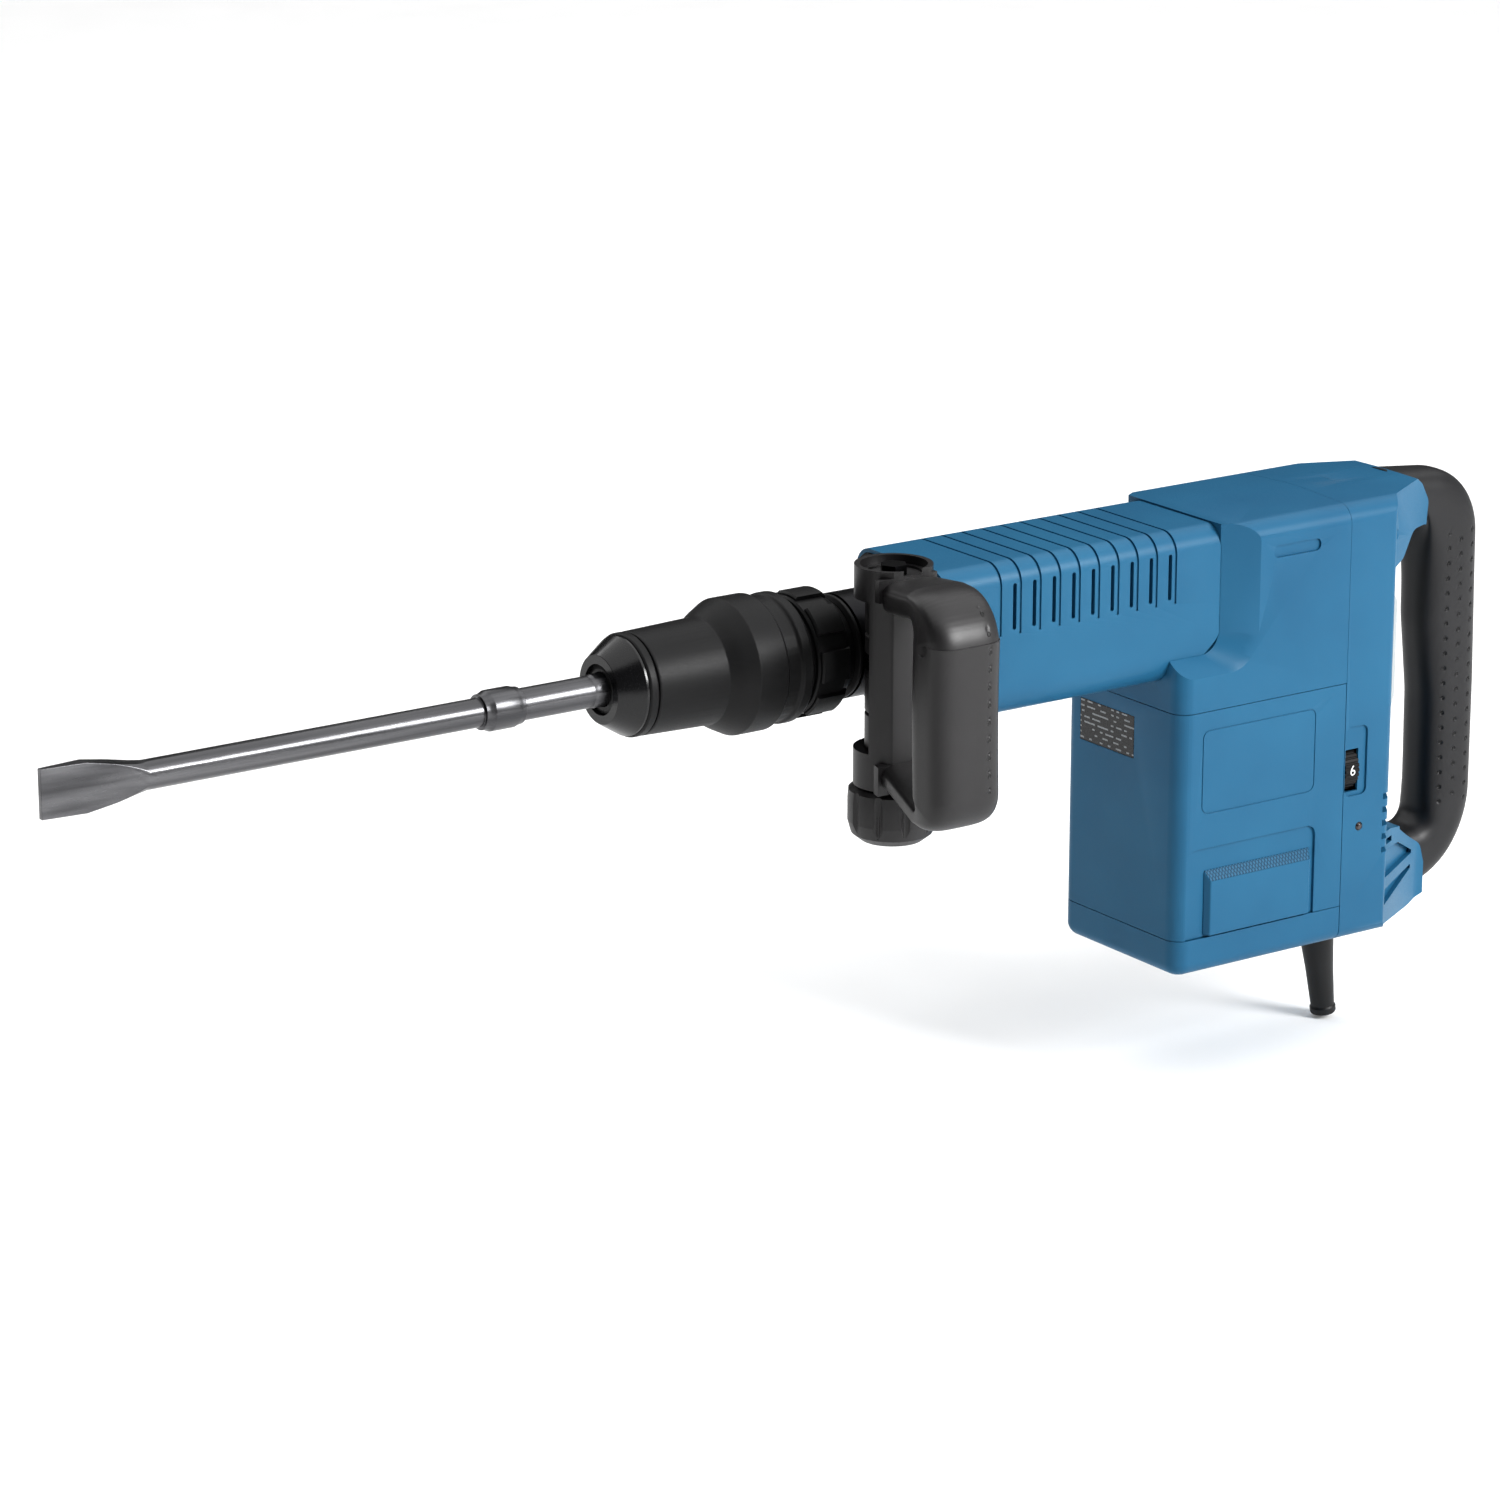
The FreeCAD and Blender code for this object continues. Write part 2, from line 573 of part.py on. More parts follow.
def make_crank_bearings():
    return [bearing(CRANK_SHAFT_R + 0.02, BEARING_R + 1, UPPER_BEARING_Z, CRANK_X),
            bearing(CRANK_SHAFT_R + 0.02, BEARING_R, LOWER_BEARING_Z, CRANK_X)]


# ---------------------------------------------------------------- gear housing
def make_gear_housing():
    """Neck and tube carrier in front, open-topped crank chamber behind, gear room below it."""
    x0, x1 = CHAMBER_X
    half = CHAMBER_HALF
    wall = CHAMBER_WALL
    carrier = cylinder("x", NECK_R, (NECK_X, x0 + 1))
    block = rounded_box((x0 - wall, x1), (-half, half), (CHAMBER_FLOOR[0], CHAMBER_TOP), 8)
    low_block = rounded_box((LOW_ROOM_X, x1), (-half, half), (PLATE_Z[1] + SEAT, CHAMBER_FLOOR[0] + 1), 8)
    ribs = [box((205, x0), (-2.5, 2.5), (BARREL_BOTTOM + WALL + SEAT, 0)),
            box((225, 231), (-BARREL_HALF + WALL + SEAT, BARREL_HALF - WALL - SEAT), (-29, 29))]
    room = rounded_box((x0, x1 - wall), (-half + wall, half - wall), (CHAMBER_FLOOR[1], CHAMBER_TOP + 1), 6)
    gear_room = rounded_box((LOW_ROOM_X + 2.3, x1 - wall), (-half + wall, half - wall),
                            (PLATE_Z[1], CHAMBER_FLOOR[0]), 6)
    bore = cylinder("x", NECK_BORE_R + RUN, (NECK_X - 1, x0 + 1))
    bearing_hole = cylinder("z", BEARING_R + 1 + SEAT, (CHAMBER_FLOOR[0] - 1, CHAMBER_FLOOR[1] + 1), (CRANK_X, 0))
    threads = [cylinder("z", 2.0 + RUN, (CHAMBER_TOP - 6, CHAMBER_TOP + 1), at) for at in COVER_HOLES]
    pads = [cylinder("z", 5.5, (CHAMBER_FLOOR[0], CHAMBER_TOP), at) for at in COVER_HOLES]
    return less(joined([carrier, block, low_block] + ribs).cut(room), [gear_room, bore, bearing_hole]) \
        .fuse([p.common(block) for p in pads]).cut([bore] + threads).removeSplitter()


def make_crank_cover():
    x = (CHAMBER_X[0] - CHAMBER_WALL, CHAMBER_X[1])
    lid = rounded_box(x, (-CHAMBER_HALF, CHAMBER_HALF), (CHAMBER_TOP + SEAT, CHAMBER_TOP + 4), 8)
    return less(lid, [cylinder("z", 2.2, (CHAMBER_TOP, CHAMBER_TOP + 6), at) for at in COVER_HOLES])


def make_gearbox_plate():
    x = (BODY_FRONT + WALL + SEAT, SEAM_X - 4)
    plate_solid = rounded_box(x, (-INNER + SEAT, INNER - SEAT), PLATE_Z, 12)
    return less(plate_solid, [
        cylinder("z", BEARING_R + SEAT, (LOWER_BEARING_Z[0], 0), (CRANK_X, 0)),
        cylinder("z", CRANK_SHAFT_R + 1, (PLATE_Z[0] - 1, 0), (CRANK_X, 0)),
        cylinder("z", BEARING_R + SEAT, (LOWER_BEARING_Z[0], 0), (MOTOR_X, 0)),
        cylinder("z", MOTOR_SHAFT_R + 1, (PLATE_Z[0] - 1, 0), (MOTOR_X, 0))])


def make_gearbox_screws():
    top = CHAMBER_TOP + 4
    return [screw(V(x, y, top + 0.1), V(0, 0, 1), 3.6, 2.4, 2.0, 9.0) for x, y in COVER_HOLES]


# ---------------------------------------------------------------- motor
def make_stator():
    """The laminated field core: a squared ring with two pole gaps."""
    z = STATOR_Z
    core = cylinder("z", STATOR_R, z, (MOTOR_X, 0)).common(
        box((MOTOR_X - STATOR_R, MOTOR_X + STATOR_R), (-STATOR_R + 5, STATOR_R - 5), z))
    slots = [cylinder("z", 7, z, (MOTOR_X, side * 28)) for side in (1, -1)]
    return less(core, [cylinder("z", STATOR_BORE_R, z, (MOTOR_X, 0))] + slots)


def make_field_coils():
    low = pipe("z", STATOR_BORE_R + 1, 36, (STATOR_Z[0] - 11, STATOR_Z[0]), (MOTOR_X, 0))
    high = pipe("z", STATOR_BORE_R + 1, 36, (STATOR_Z[1], STATOR_Z[1] + 10), (MOTOR_X, 0))
    return [low, high]


def make_armature():
    """Shaft, laminated core with winding slots, winding heads and the pinion cut on the shaft's end."""
    shaft = cylinder("z", MOTOR_SHAFT_R, (SHAFT_Z[0], GEAR_Z[0] + 0.5), (MOTOR_X, 0))
    core = cylinder("z", STATOR_BORE_R - 0.6, (STATOR_Z[0] + 1, STATOR_Z[1] - 1), (MOTOR_X, 0))
    slot = box((MOTOR_X + 19, MOTOR_X + 30), (-1.2, 1.2), STATOR_Z)
    core = less(core, around(slot, 16, V(MOTOR_X, 0, 0), V(0, 0, 1)))
    heads = [turned_z([(0, z0), (13, z0), (18, z0 + 3), (18, z1 - 3), (13, z1), (0, z1)], MOTOR_X, 0)
             for z0, z1 in ((STATOR_Z[1] - 2, STATOR_Z[1] + 12), (STATOR_Z[0] - 11, STATOR_Z[0] + 2))]
    pinion = gear(PINION_TEETH, (GEAR_Z[0], GEAR_Z[1] + 1.5), MOTOR_X, 180.0 / PINION_TEETH)
    return joined([shaft, core, pinion] + heads)


def make_commutator():
    ring = pipe("z", MOTOR_SHAFT_R, 14, COMMUTATOR_Z, (MOTOR_X, 0))
    slot = box((MOTOR_X + 11, MOTOR_X + 15), (-0.4, 0.4), (COMMUTATOR_Z[0] + 1, COMMUTATOR_Z[1] + 1))
    return less(ring, around(slot, 24, V(MOTOR_X, 0, 0), V(0, 0, 1)))


def make_fan():
    """A radial fan: hub, disc and curved-away blades."""
    low, high = FAN_Z
    hub = cylinder("z", 10, FAN_Z, (MOTOR_X, 0))
    disc = cylinder("z", 37, (high - 2, high), (MOTOR_X, 0))
    blade = box((MOTOR_X + 15, MOTOR_X + 36), (-1, 1), (low, high - 1))
    blade.rotate(V(MOTOR_X + 15, 0, 0), V(0, 0, 1), 25)
    trim = cylinder("z", 37, FAN_Z, (MOTOR_X, 0))
    blades = [b.common(trim) for b in around(blade, 13, V(MOTOR_X, 0, 0), V(0, 0, 1))]
    return less(joined([hub, disc] + blades), [cylinder("z", MOTOR_SHAFT_R, FAN_Z, (MOTOR_X, 0))])


def make_fan_baffle():
    """The ring below the fan that guides the air. Its rim seats on the motor housing's ribs."""
    ring = rounded_box((BODY_FRONT + WALL + SEAT, SEAM_X - 4), (-INNER + SEAT, INNER - SEAT),
                       (FAN_Z[0] - 4, FAN_Z[0] - 1.5), 8)
    return less(ring, [cylinder("z", 26, (FAN_Z[0] - 5, FAN_Z[0]), (MOTOR_X, 0))])


def make_motor_bearings():
    return [bearing(MOTOR_SHAFT_R + 0.02, BEARING_R, LOWER_BEARING_Z, MOTOR_X),
            bearing(MOTOR_SHAFT_R + 0.02, LOW_BEARING_R, LOW_BEARING_Z, MOTOR_X)]


def make_brush_holders():
    """Two brass boxes, one each side of the commutator."""
    holders = []
    for side in (1, -1):
        y = sorted((side * 20.0, side * 44.0))
        outer = box((MOTOR_X - 6, MOTOR_X + 6), y, (BRUSH_Z[0] - 1.5, BRUSH_Z[1] + 1.5))
        inner = box((MOTOR_X - 4.2, MOTOR_X + 4.2), sorted((side * 19.0, side * 42.0)),
                    (BRUSH_Z[0] - 0.1, BRUSH_Z[1] + 0.1))
        holders.append(outer.cut(inner))
    return holders


def make_carbon_brushes():
    return [box((MOTOR_X - 4, MOTOR_X + 4), sorted((side * 14.3, side * 36.0)), BRUSH_Z) for side in (1, -1)]


# ---------------------------------------------------------------- casing
def barrel_section(grow):
    """The barrel shell's cross-section as (y, z) corners, grown outward."""
    half = BARREL_HALF + grow
    top = BARREL_TOP + grow
    bottom = BARREL_BOTTOM - grow
    return [(-half, top, 12), (half, top, 12), (half, bottom, 18), (-half, bottom, 18)]


def barrel_solid(grow):
    """The barrel's outer solid, with its lower rear corner rounded away."""
    x0, x1 = BARREL_X
    solid = plate("yz", barrel_section(grow), (x0, x1 + grow))
    keep = plate("xz", [(x0 - 1, BARREL_TOP + 5), (x1 + grow, BARREL_TOP + 5), (x1 + grow, -18 - grow, 30),
                        (x1 - 34 + grow, BARREL_BOTTOM - grow, 26), (x0 - 1, BARREL_BOTTOM - grow)],
                 (-BODY_HALF - 1, BODY_HALF + 1))
    return solid.common(keep)


def make_barrel_shell():
    x0, x1 = BARREL_X
    hollow = plate("yz", [(-BARREL_HALF + WALL, BARREL_TOP - WALL, 9), (BARREL_HALF - WALL, BARREL_TOP - WALL, 9),
                          (BARREL_HALF - WALL, BARREL_BOTTOM + WALL, 15),
                          (-BARREL_HALF + WALL, BARREL_BOTTOM + WALL, 15)], (x0 - 1, x1 + 1))
    slots = []
    for i in range(VENTS):
        x = VENT_X + i * VENT_PITCH
        slots.append(rounded_box((x, x + VENT_W), (-BARREL_HALF - 1, BARREL_HALF + 1), VENT_Z, VENT_W / 2.01, "y"))
    grooves = []
    outer = plate("yz", barrel_section(1.0), (x0, x1))
    inner = plate("yz", barrel_section(-0.9), (x0 - 1, x1 + 1))
    skin = outer.cut(inner)
    for i in range(VENTS + 1):
        x = VENT_X - 9.1 + i * VENT_PITCH
        grooves.append(skin.common(box((x, x + 1.6), (-60, 60), (1.5, 60))))
    collar_seat = plate("yz", COLLAR_SECTION, (x0 - 1, x0 + 5))
    gear_gap = box((LOW_ROOM_X - SEAT, x1 + 1), (-BARREL_HALF + WALL, BARREL_HALF - WALL), (-60, -20))
    return less(barrel_solid(0), [hollow, collar_seat, gear_gap] + slots + grooves)


def make_front_collar():
    """The black front plate between the neck and the barrel shell."""
    inset = [(y - math.copysign(SEAT, y), z - math.copysign(SEAT, z), r) for y, z, r in COLLAR_SECTION]
    disc = plate("yz", inset, (BARREL_X[0] - 1.5, BARREL_X[0] + 4.7))
    step = cylinder("x", 33, (BARREL_X[0] - 5, BARREL_X[0] - 1))
    holes = [cylinder("x", 2.2, (BARREL_X[0] - 6, BARREL_X[0] + 6), at) for at in COLLAR_HOLES]
    return less(joined([disc, step]), [cylinder("x", NECK_R + RUN, (BARREL_X[0] - 6, BARREL_X[0] + 6))] + holes)


def make_collar_screws():
    x = BARREL_X[0] - 1.6
    return [screw(V(x, y, z), V(-1, 0, 0), 3.4, 2.0, 2.0, 5.5) for y, z in COLLAR_HOLES]


def top_profile(grow):
    """The casing's top line over the motor as (x, z) corners, from front to rear."""
    return [(BARREL_X[1] - 4 - grow, BARREL_TOP + 1 + grow), (442, BODY_TOP + 0.5 + grow, 80),
            (SEAM_X + 20, BODY_TOP + 0.8 + grow, 80), (REAR_X + 2 + grow, BODY_TOP - 2 + grow, 10)]


def crown(grow):
    """The casing's arched top in section, as (y, z) corners from left to right."""
    half = BODY_HALF + grow
    return [(-half, BODY_TOP - 2 + grow, 11), (0, BODY_TOP + 0.8 + grow, 300), (half, BODY_TOP - 2 + grow, 11)]


def shoulder_outline(x, z, radius, grow):
    """Behind and below the curved line that runs down the barrel's end and forward under it."""
    return [(x - grow, 80), (x - grow, z + grow, radius), (BODY_FRONT - 20, z + grow), (BODY_FRONT - 20, -90),
            (REAR_X + 20, -90), (REAR_X + 20, 80)]


def shoulder_block(grow):
    """The block's sides slope from the barrel's width to the full width between two such lines."""
    half_in, half_out = BARREL_HALF + grow, BODY_HALF + grow
    narrow = shoulder_outline(*SHOULDER_IN, grow)
    wide = shoulder_outline(*SHOULDER_OUT, grow)
    middle = plate("xz", narrow, (-half_in, half_in))
    wires = [outline("xz", narrow, half_in).OuterWire, outline("xz", wide, half_out).OuterWire]
    flank = Part.makeLoft(wires, True, True)
    return joined([middle, flank, flank.mirror(V(0, 0, 0), V(0, 1, 0))])


def body_block(grow, x_low, x_high, z_low):
    """The wide block over the motor between two X planes, down to z_low, grown outward."""
    half = BODY_HALF + grow
    side = plate("xz", [(x_low, z_low)] + [(x_low, top_profile(grow)[0][1])] + top_profile(grow)
                 + [(REAR_X + 2 + grow, z_low)], (-half, half))
    across = plate("yz", crown(grow) + [(half, z_low), (-half, z_low)], (x_low, x_high))
    front = rounded_box((BODY_FRONT - grow, x_high + 30), (-half, half), (z_low, BODY_TOP + 10), CORNER_R)
    return side.common(across).common(front).common(shoulder_block(grow))


def make_upper_housing():
    outer = body_block(0, BODY_FRONT, SEAM_X, PARTING_Z + JOIN)
    hollow = body_block(-WALL, BODY_FRONT + WALL, SEAM_X + 1, PARTING_Z)
    recess_y = (-BODY_HALF - 1, -BODY_HALF + 1.2)
    recess = rounded_box((413, 447), recess_y, (20.5, 27.5), 3.4, "y")
    other = rounded_box((413, 447), (BODY_HALF - 1.2, BODY_HALF + 1), (20.5, 27.5), 3.4, "y")
    room = box((BODY_FRONT + WALL, 400), (-BARREL_HALF + WALL, BARREL_HALF - WALL),
               (PLATE_Z[1] - 12, BARREL_TOP - 5))
    shell = less(outer, [barrel_solid(JOIN), hollow, recess, other, room])
    return joined([shell] + rear_bosses(SEAM_X - 16, 1))


def shell_box(x, z, x_open_high, floor=None):
    """A motor casing ring: outer rounded box less its inside, open at the rear when asked."""
    outer = rounded_box((x[0], x[1] + 40), (-BODY_HALF, BODY_HALF), z, 10)
    outer = outer.common(box((x[0] - 1, x[1]), (-60, 60), z))
    inner_z = (z[0] - 1 if floor is None else z[0] + floor, z[1] + 1)
    inner = rounded_box((x[0] + WALL, x_open_high), (-INNER, INNER), inner_z, 7)
    return outer.cut(inner)


def make_motor_housing():
    body = shell_box((BODY_FRONT, SEAM_X - JOIN), (BASE_Z + JOIN, PARTING_Z - JOIN), SEAM_X + 60)
    ribs = []
    for side in (1, -1):
        y = sorted((side * (STATOR_R - 5 + SEAT), side * (INNER + 1)))
        ribs.append(box((MOTOR_X - 14, MOTOR_X + 14), y, (STATOR_Z[0] + 5, STATOR_Z[1] - 5)))
        ribs.append(box((MOTOR_X - 8, MOTOR_X + 8), sorted((side * 44.0, side * (INNER + 1))),
                        (BASE_Z + 2, BASE_Z + 14)))
    ribs.append(box((BODY_FRONT + 1, MOTOR_X - STATOR_R - SEAT), (-12, 12), (STATOR_Z[0] + 5, STATOR_Z[1] - 5)))
    lip = rounded_box((BODY_FRONT + 1, SEAM_X - 5), (-INNER - 1, INNER + 1), (FAN_Z[0] - 8, FAN_Z[0] - 4 - SEAT), 7)
    lip = lip.cut(rounded_box((BODY_FRONT + WALL + 3, SEAM_X + 20), (-INNER + 3, INNER - 3), (-200, 0), 6))
    solid = joined([body, lip] + ribs + [b.common(box((300, 600), (-INNER - 1, INNER + 1), (-300, 100)))
                                              for b in rear_bosses(SEAM_X - 16, -1)])
    cuts = []
    for side in (1, -1):
        y = sorted((side * (BODY_HALF - 1.5), side * (BODY_HALF + 1)))
        cuts.append(rounded_box(PANEL_X, y, (PANEL_Z[0] - 5, PANEL_Z[1]), 6, "y"))
        y = sorted((side * (BODY_HALF - 0.4), side * (BODY_HALF + 1)))
        badge = rounded_box((365, 447), y, (-120, -71), 5, "y")
        cuts.append(badge.cut(rounded_box((365.8, 446.2), y, (-119.2, -71.8), 4.2, "y")))
    label_z = (-94.0 - SEAT, -70.0 + SEAT)
    cuts.append(box((BODY_FRONT - 1, BODY_FRONT + 0.8), (-11 - SEAT, 37 + SEAT), label_z))
    return less(solid, cuts)


def make_rating_plate():
    return box((BODY_FRONT, BODY_FRONT + 0.8), (-11, 37), (-94, -70))


def make_side_panel(side):
    """A bevelled inlet panel that sits in the casing's shallow recess."""
    x = (369.0, 446.0)
    z = (BASE_Z + JOIN + 1, -154.0)
    base_y = BODY_HALF - 1.5
    top_y = BODY_HALF + 2.5
    bevel = plate("yz", [(base_y, z[0]), (top_y, z[0]), (top_y, z[1] - 5), (base_y, z[1] + 1)], x)
    ends = plate("xy", [(x[0], base_y), (x[0] + 2.5, top_y), (x[1] - 2.5, top_y), (x[1], base_y)], (z[0], z[1] + 1))
    panel = bevel.common(ends)
    return panel if side > 0 else panel.mirror(V(0, 0, 0), V(0, 1, 0))


def make_base_cover():
    z = (BOTTOM_Z, BASE_Z - JOIN)
    body = shell_box((BODY_FRONT, SEAM_X - JOIN), z, SEAM_X + 60, WALL)
    rim = rounded_box((BODY_FRONT, SEAM_X + 40), (-BODY_HALF, BODY_HALF), z, 10)
    low_edges = [e for e in rim.Edges if abs(e.CenterOfMass.z - BOTTOM_Z) < 0.01]
    rim = rim.makeFillet(8.0, low_edges)
    body = body.common(rim)
    cup_z = (BOTTOM_Z + 1, BASE_Z - 1)
    cup = cylinder("z", LOW_BEARING_R + SEAT + 3, cup_z, (MOTOR_X, 0))
    bosses = [cylinder("z", 5, (BOTTOM_Z + 1, BASE_Z - JOIN), at) for at in BASE_HOLES]
    bulge = rounded_box((382, 440), (-38, 38), (BOTTOM_Z - 3.0, BOTTOM_Z + 1), 10)
    holes = [cylinder("z", 2.0, (BOTTOM_Z - 1, BASE_Z), at) for at in BASE_HOLES]
    sinks = [cylinder("z", 3.8, (BOTTOM_Z - 5, BOTTOM_Z + 4), at) for at in BASE_HOLES]
    cup_hole = cylinder("z", LOW_BEARING_R + SEAT, (LOW_BEARING_Z[0] - SEAT, BASE_Z), (MOTOR_X, 0))
    shaft_hole = cylinder("z", MOTOR_SHAFT_R + 2, (SHAFT_Z[0] - 1, BASE_Z), (MOTOR_X, 0))
    return less(joined([body, cup, bulge] + bosses), holes + sinks + [cup_hole, shaft_hole])


def make_base_screws():
    return [screw(V(x, y, BOTTOM_Z + 3.9), V(0, 0, -1), 3.5, 2.2, 1.9, 15) for x, y in BASE_HOLES]


# ---------------------------------------------------------------- rear shell, handle and controls
def rear_bosses(x, z_half):
    """Screw bosses in the casing in front of the seam, at the rear screws in the upper or lower half."""
    return [pipe("x", 2.0 + RUN, 5.0, (x, SEAM_X - JOIN), (y, z)) for y, z in REAR_HOLES if z * z_half > 0]


def rear_plan(grow, x_low):
    half = BODY_HALF + grow
    rear_half = REAR_HALF + grow
    return [(x_low, -half), (REAR_SIDE_X + grow, -half, 5), (REAR_X + grow, -rear_half, 10),
            (REAR_X + grow, rear_half, 10), (REAR_SIDE_X + grow, half, 5), (x_low, half)]


def rear_block(grow, x_low):
    """The rear casing's solid: plan outline, with the same top line and arch as the casing in front."""
    z_low = BOTTOM_Z - grow
    half = BODY_HALF + grow
    plan = plate("xy", rear_plan(grow, x_low), (z_low, BODY_TOP + 5))
    side = plate("xz", [(BARREL_X[1] - 4 - grow, z_low)] + top_profile(grow) + [(REAR_X + 2 + grow, z_low, 10)],
                 (-60, 60))
    across = plate("yz", crown(grow) + [(half, z_low, 8), (-half, z_low, 8)], (x_low - 1, REAR_X + 20))
    return plan.common(side).common(across)


def handle_loop():
    """The rear handle's loop: outer outline less the finger gap."""
    outer = plate("xz", HANDLE_OUTER, (-GRIP_HALF, GRIP_HALF))
    inner = plate("xz", HANDLE_INNER, (-GRIP_HALF - 1, GRIP_HALF + 1))
    return outer.cut(inner)


def handle_arms():
    """The two casing arms, wide at the casing and narrow at the grip."""
    taper = plate("xy", ARM_PLAN, (-250, 80))
    loop = plate("xz", HANDLE_OUTER, (-60, 60)).cut(plate("xz", HANDLE_INNER, (-61, 61)))
    roof = plate("yz", crown(0) + [(BODY_HALF, BOTTOM_Z, 8), (-BODY_HALF, BOTTOM_Z, 8)], (494, 600))
    return taper.common(loop).common(roof)


def arm_recesses():
    """Two shallow pockets in each flank of the lower arm; the rib between them stays."""
    flank = plate("xy", [(x, y - math.copysign(RECESS_DEEP, y), *r) for x, y, *r in ARM_PLAN], (-250, 80))
    pockets = joined([plate("xz", corners, (-60, 60)) for corners in RECESSES])
    return pockets.cut(flank)


def grip_region(offset):
    """Everything behind the line where the arms end and the rubber begins."""
    return plate("xz", [(x + offset, z) + tuple(r) for x, z, *r in SEAM_CUT], (-60, 60))


def grip_core(gap):
    """The casing's own spine inside the rubber."""
    r = 8.0 + gap
    top = (541.0, 26.0)
    bend_high = (583.0, 14.0)
    bend_low = (576.0, -178.0)
    end = (545.0, -190.0)
    parts = []
    for a, b in ((top, bend_high), (bend_high, bend_low), (bend_low, end)):
        start = V(a[0], 0, a[1])
        way = V(b[0] - a[0], 0, b[1] - a[1])
        parts.append(Part.makeCylinder(r, way.Length, start, way))
    for x, z in (bend_high, bend_low):
        parts.append(Part.makeSphere(r, V(x, 0, z)))
    return joined(parts)


def make_rear_shell():
    """Rear casing, handle arms and the spine inside the grip, one moulding."""
    shell = rear_block(0, SEAM_X + JOIN).cut(rear_block(-WALL, SEAM_X - 5))
    arms = handle_arms().cut(arm_recesses()).cut(rear_block(0, SEAM_X + JOIN)).cut(grip_region(0))
    core = grip_core(0).cut(rear_block(0, SEAM_X + JOIN))
    solid = joined([shell, arms, core])
    gap = 0.6
    paddle_hole = box((500, PADDLE_X[1] + 2), (-PADDLE_HALF - gap, PADDLE_HALF + gap),
                      (PADDLE_Z[0] - gap, PADDLE_Z[1] + gap))
    dial_slot = box((DIAL_X - 5 - SEAT, DIAL_X + 5 + SEAT), (-BODY_HALF - 1, -BODY_HALF + WALL + 1),
                    (DIAL_Z - 12.5, DIAL_Z + 12.5))
    dial_pocket = rounded_box((SEAM_X + 1, 486), (-BODY_HALF - 1, -BODY_HALF + 1.2), (-128, -87), 4, "y")
    lamp_hole = cylinder("y", 2.6, (-BODY_HALF - 1, -BODY_HALF + WALL + 1), (481.5, -147))
    boot_hole = slanted(BOOT_X, 0, BOTTOM_Z - 8, BOOT_TOP, 8.5 + SEAT, BOOT_LEAN)
    pin_hole = cylinder("y", 2.5 + RUN, (-30, 30), (PIN_X, PIN_Z))
    core_block = rear_block(-WALL + 0.8, SEAM_X - 5)
    fins = [box((REAR_SIDE_X - 4, REAR_X + 1), sorted((side * 32.0, side * 60.0)), (z, z + 3.4)).cut(core_block)
            for z in (-166, -158, -150, -142, -134) for side in (1, -1)]
    rebate = [cylinder("x", 2.1, (SEAM_X - 1, SEAM_X + 60), at) for at in REAR_HOLES]
    sinks = [cylinder("x", 4.2, (SEAM_X + 20, SEAM_X + 60), at) for at in REAR_HOLES]
    bosses = [cylinder("x", 5.5, (SEAM_X + JOIN, REAR_SIDE_X + 6), at).common(rear_block(-1, SEAM_X - 5))
              for at in REAR_HOLES]
    ears = [box((PIN_X - 6, REAR_X - 1), sorted((side * (PADDLE_HALF + 0.6), side * (PADDLE_HALF + 4.0))),
                (PIN_Z - 6, PIN_Z + 6)) for side in (1, -1)]
    solid = joined([solid] + bosses + ears)
    return less(solid, [paddle_hole, dial_slot, dial_pocket, lamp_hole, boot_hole, pin_hole] + fins
                + rebate + sinks)


def make_rear_screws():
    return [screw(V(SEAM_X + 20.1, y, z), V(1, 0, 0), 3.8, 2.6, 2.0, 32) for y, z in REAR_HOLES]


def make_rear_grip():
    """The rubber sleeve of the grip, moulded round the spine."""
    grip = handle_loop().common(grip_region(SEAT))
    return less(grip, [grip_core(0.0), handle_arms_clear()])


def handle_arms_clear():
    return rear_block(SEAT, SEAM_X)


def make_switch_paddle():
    """The grey paddle, hinged at its top on the switch pin."""
    face = plate("xz", [(507, PADDLE_Z[0]), (PADDLE_X[1] - 3, PADDLE_Z[0], 3), (PADDLE_X[1], PADDLE_Z[0] + 8, 4),
                        (PADDLE_X[1], PADDLE_Z[1] - 12, 6), (PADDLE_X[0], PADDLE_Z[1], 3), (507, PADDLE_Z[1])],
                 (-PADDLE_HALF, PADDLE_HALF))
    bore = cylinder("y", 2.5 + RUN, (-40, 40), (PIN_X, PIN_Z))
    back = box((500, PADDLE_X[1] - 7), (-PADDLE_HALF + 3, PADDLE_HALF - 3), (PADDLE_Z[0] + 3, PIN_Z - 6))
    return less(face, [bore, back])


def make_switch_pin():
    return cylinder("y", 2.5, (-PADDLE_HALF - 3.8, PADDLE_HALF + 3.8), (PIN_X, PIN_Z))


def make_switch_body():
    body = box(SWITCH_X, (-11, 11), (-84, -44))
    button = cylinder("x", 3.0, (SWITCH_X[1] - 1, PADDLE_X[1] - 7 - 5.4), (0, -78))
    lugs = box((SEAM_X + 1, SWITCH_X[0] + 1), (-INNER + SEAT, INNER - SEAT), (-70, -62))
    return joined([body, button, lugs])


def make_switch_spring():
    return coil(V(SWITCH_X[1] + SEAT, 0, -60), V(1, 0, 0), 4.0, 0.5, PADDLE_X[1] - 7 - SWITCH_X[1] - 2 * SEAT, 6)


def make_electronics_module():
    body = box((SEAM_X + 2, 498), (8, INNER - SEAT), (-150, -92))
    fins = [box((SEAM_X + 4 + 6 * i, SEAM_X + 6 + 6 * i), (2, 9), (-146, -96)) for i in range(4)]
    return joined([body] + fins)


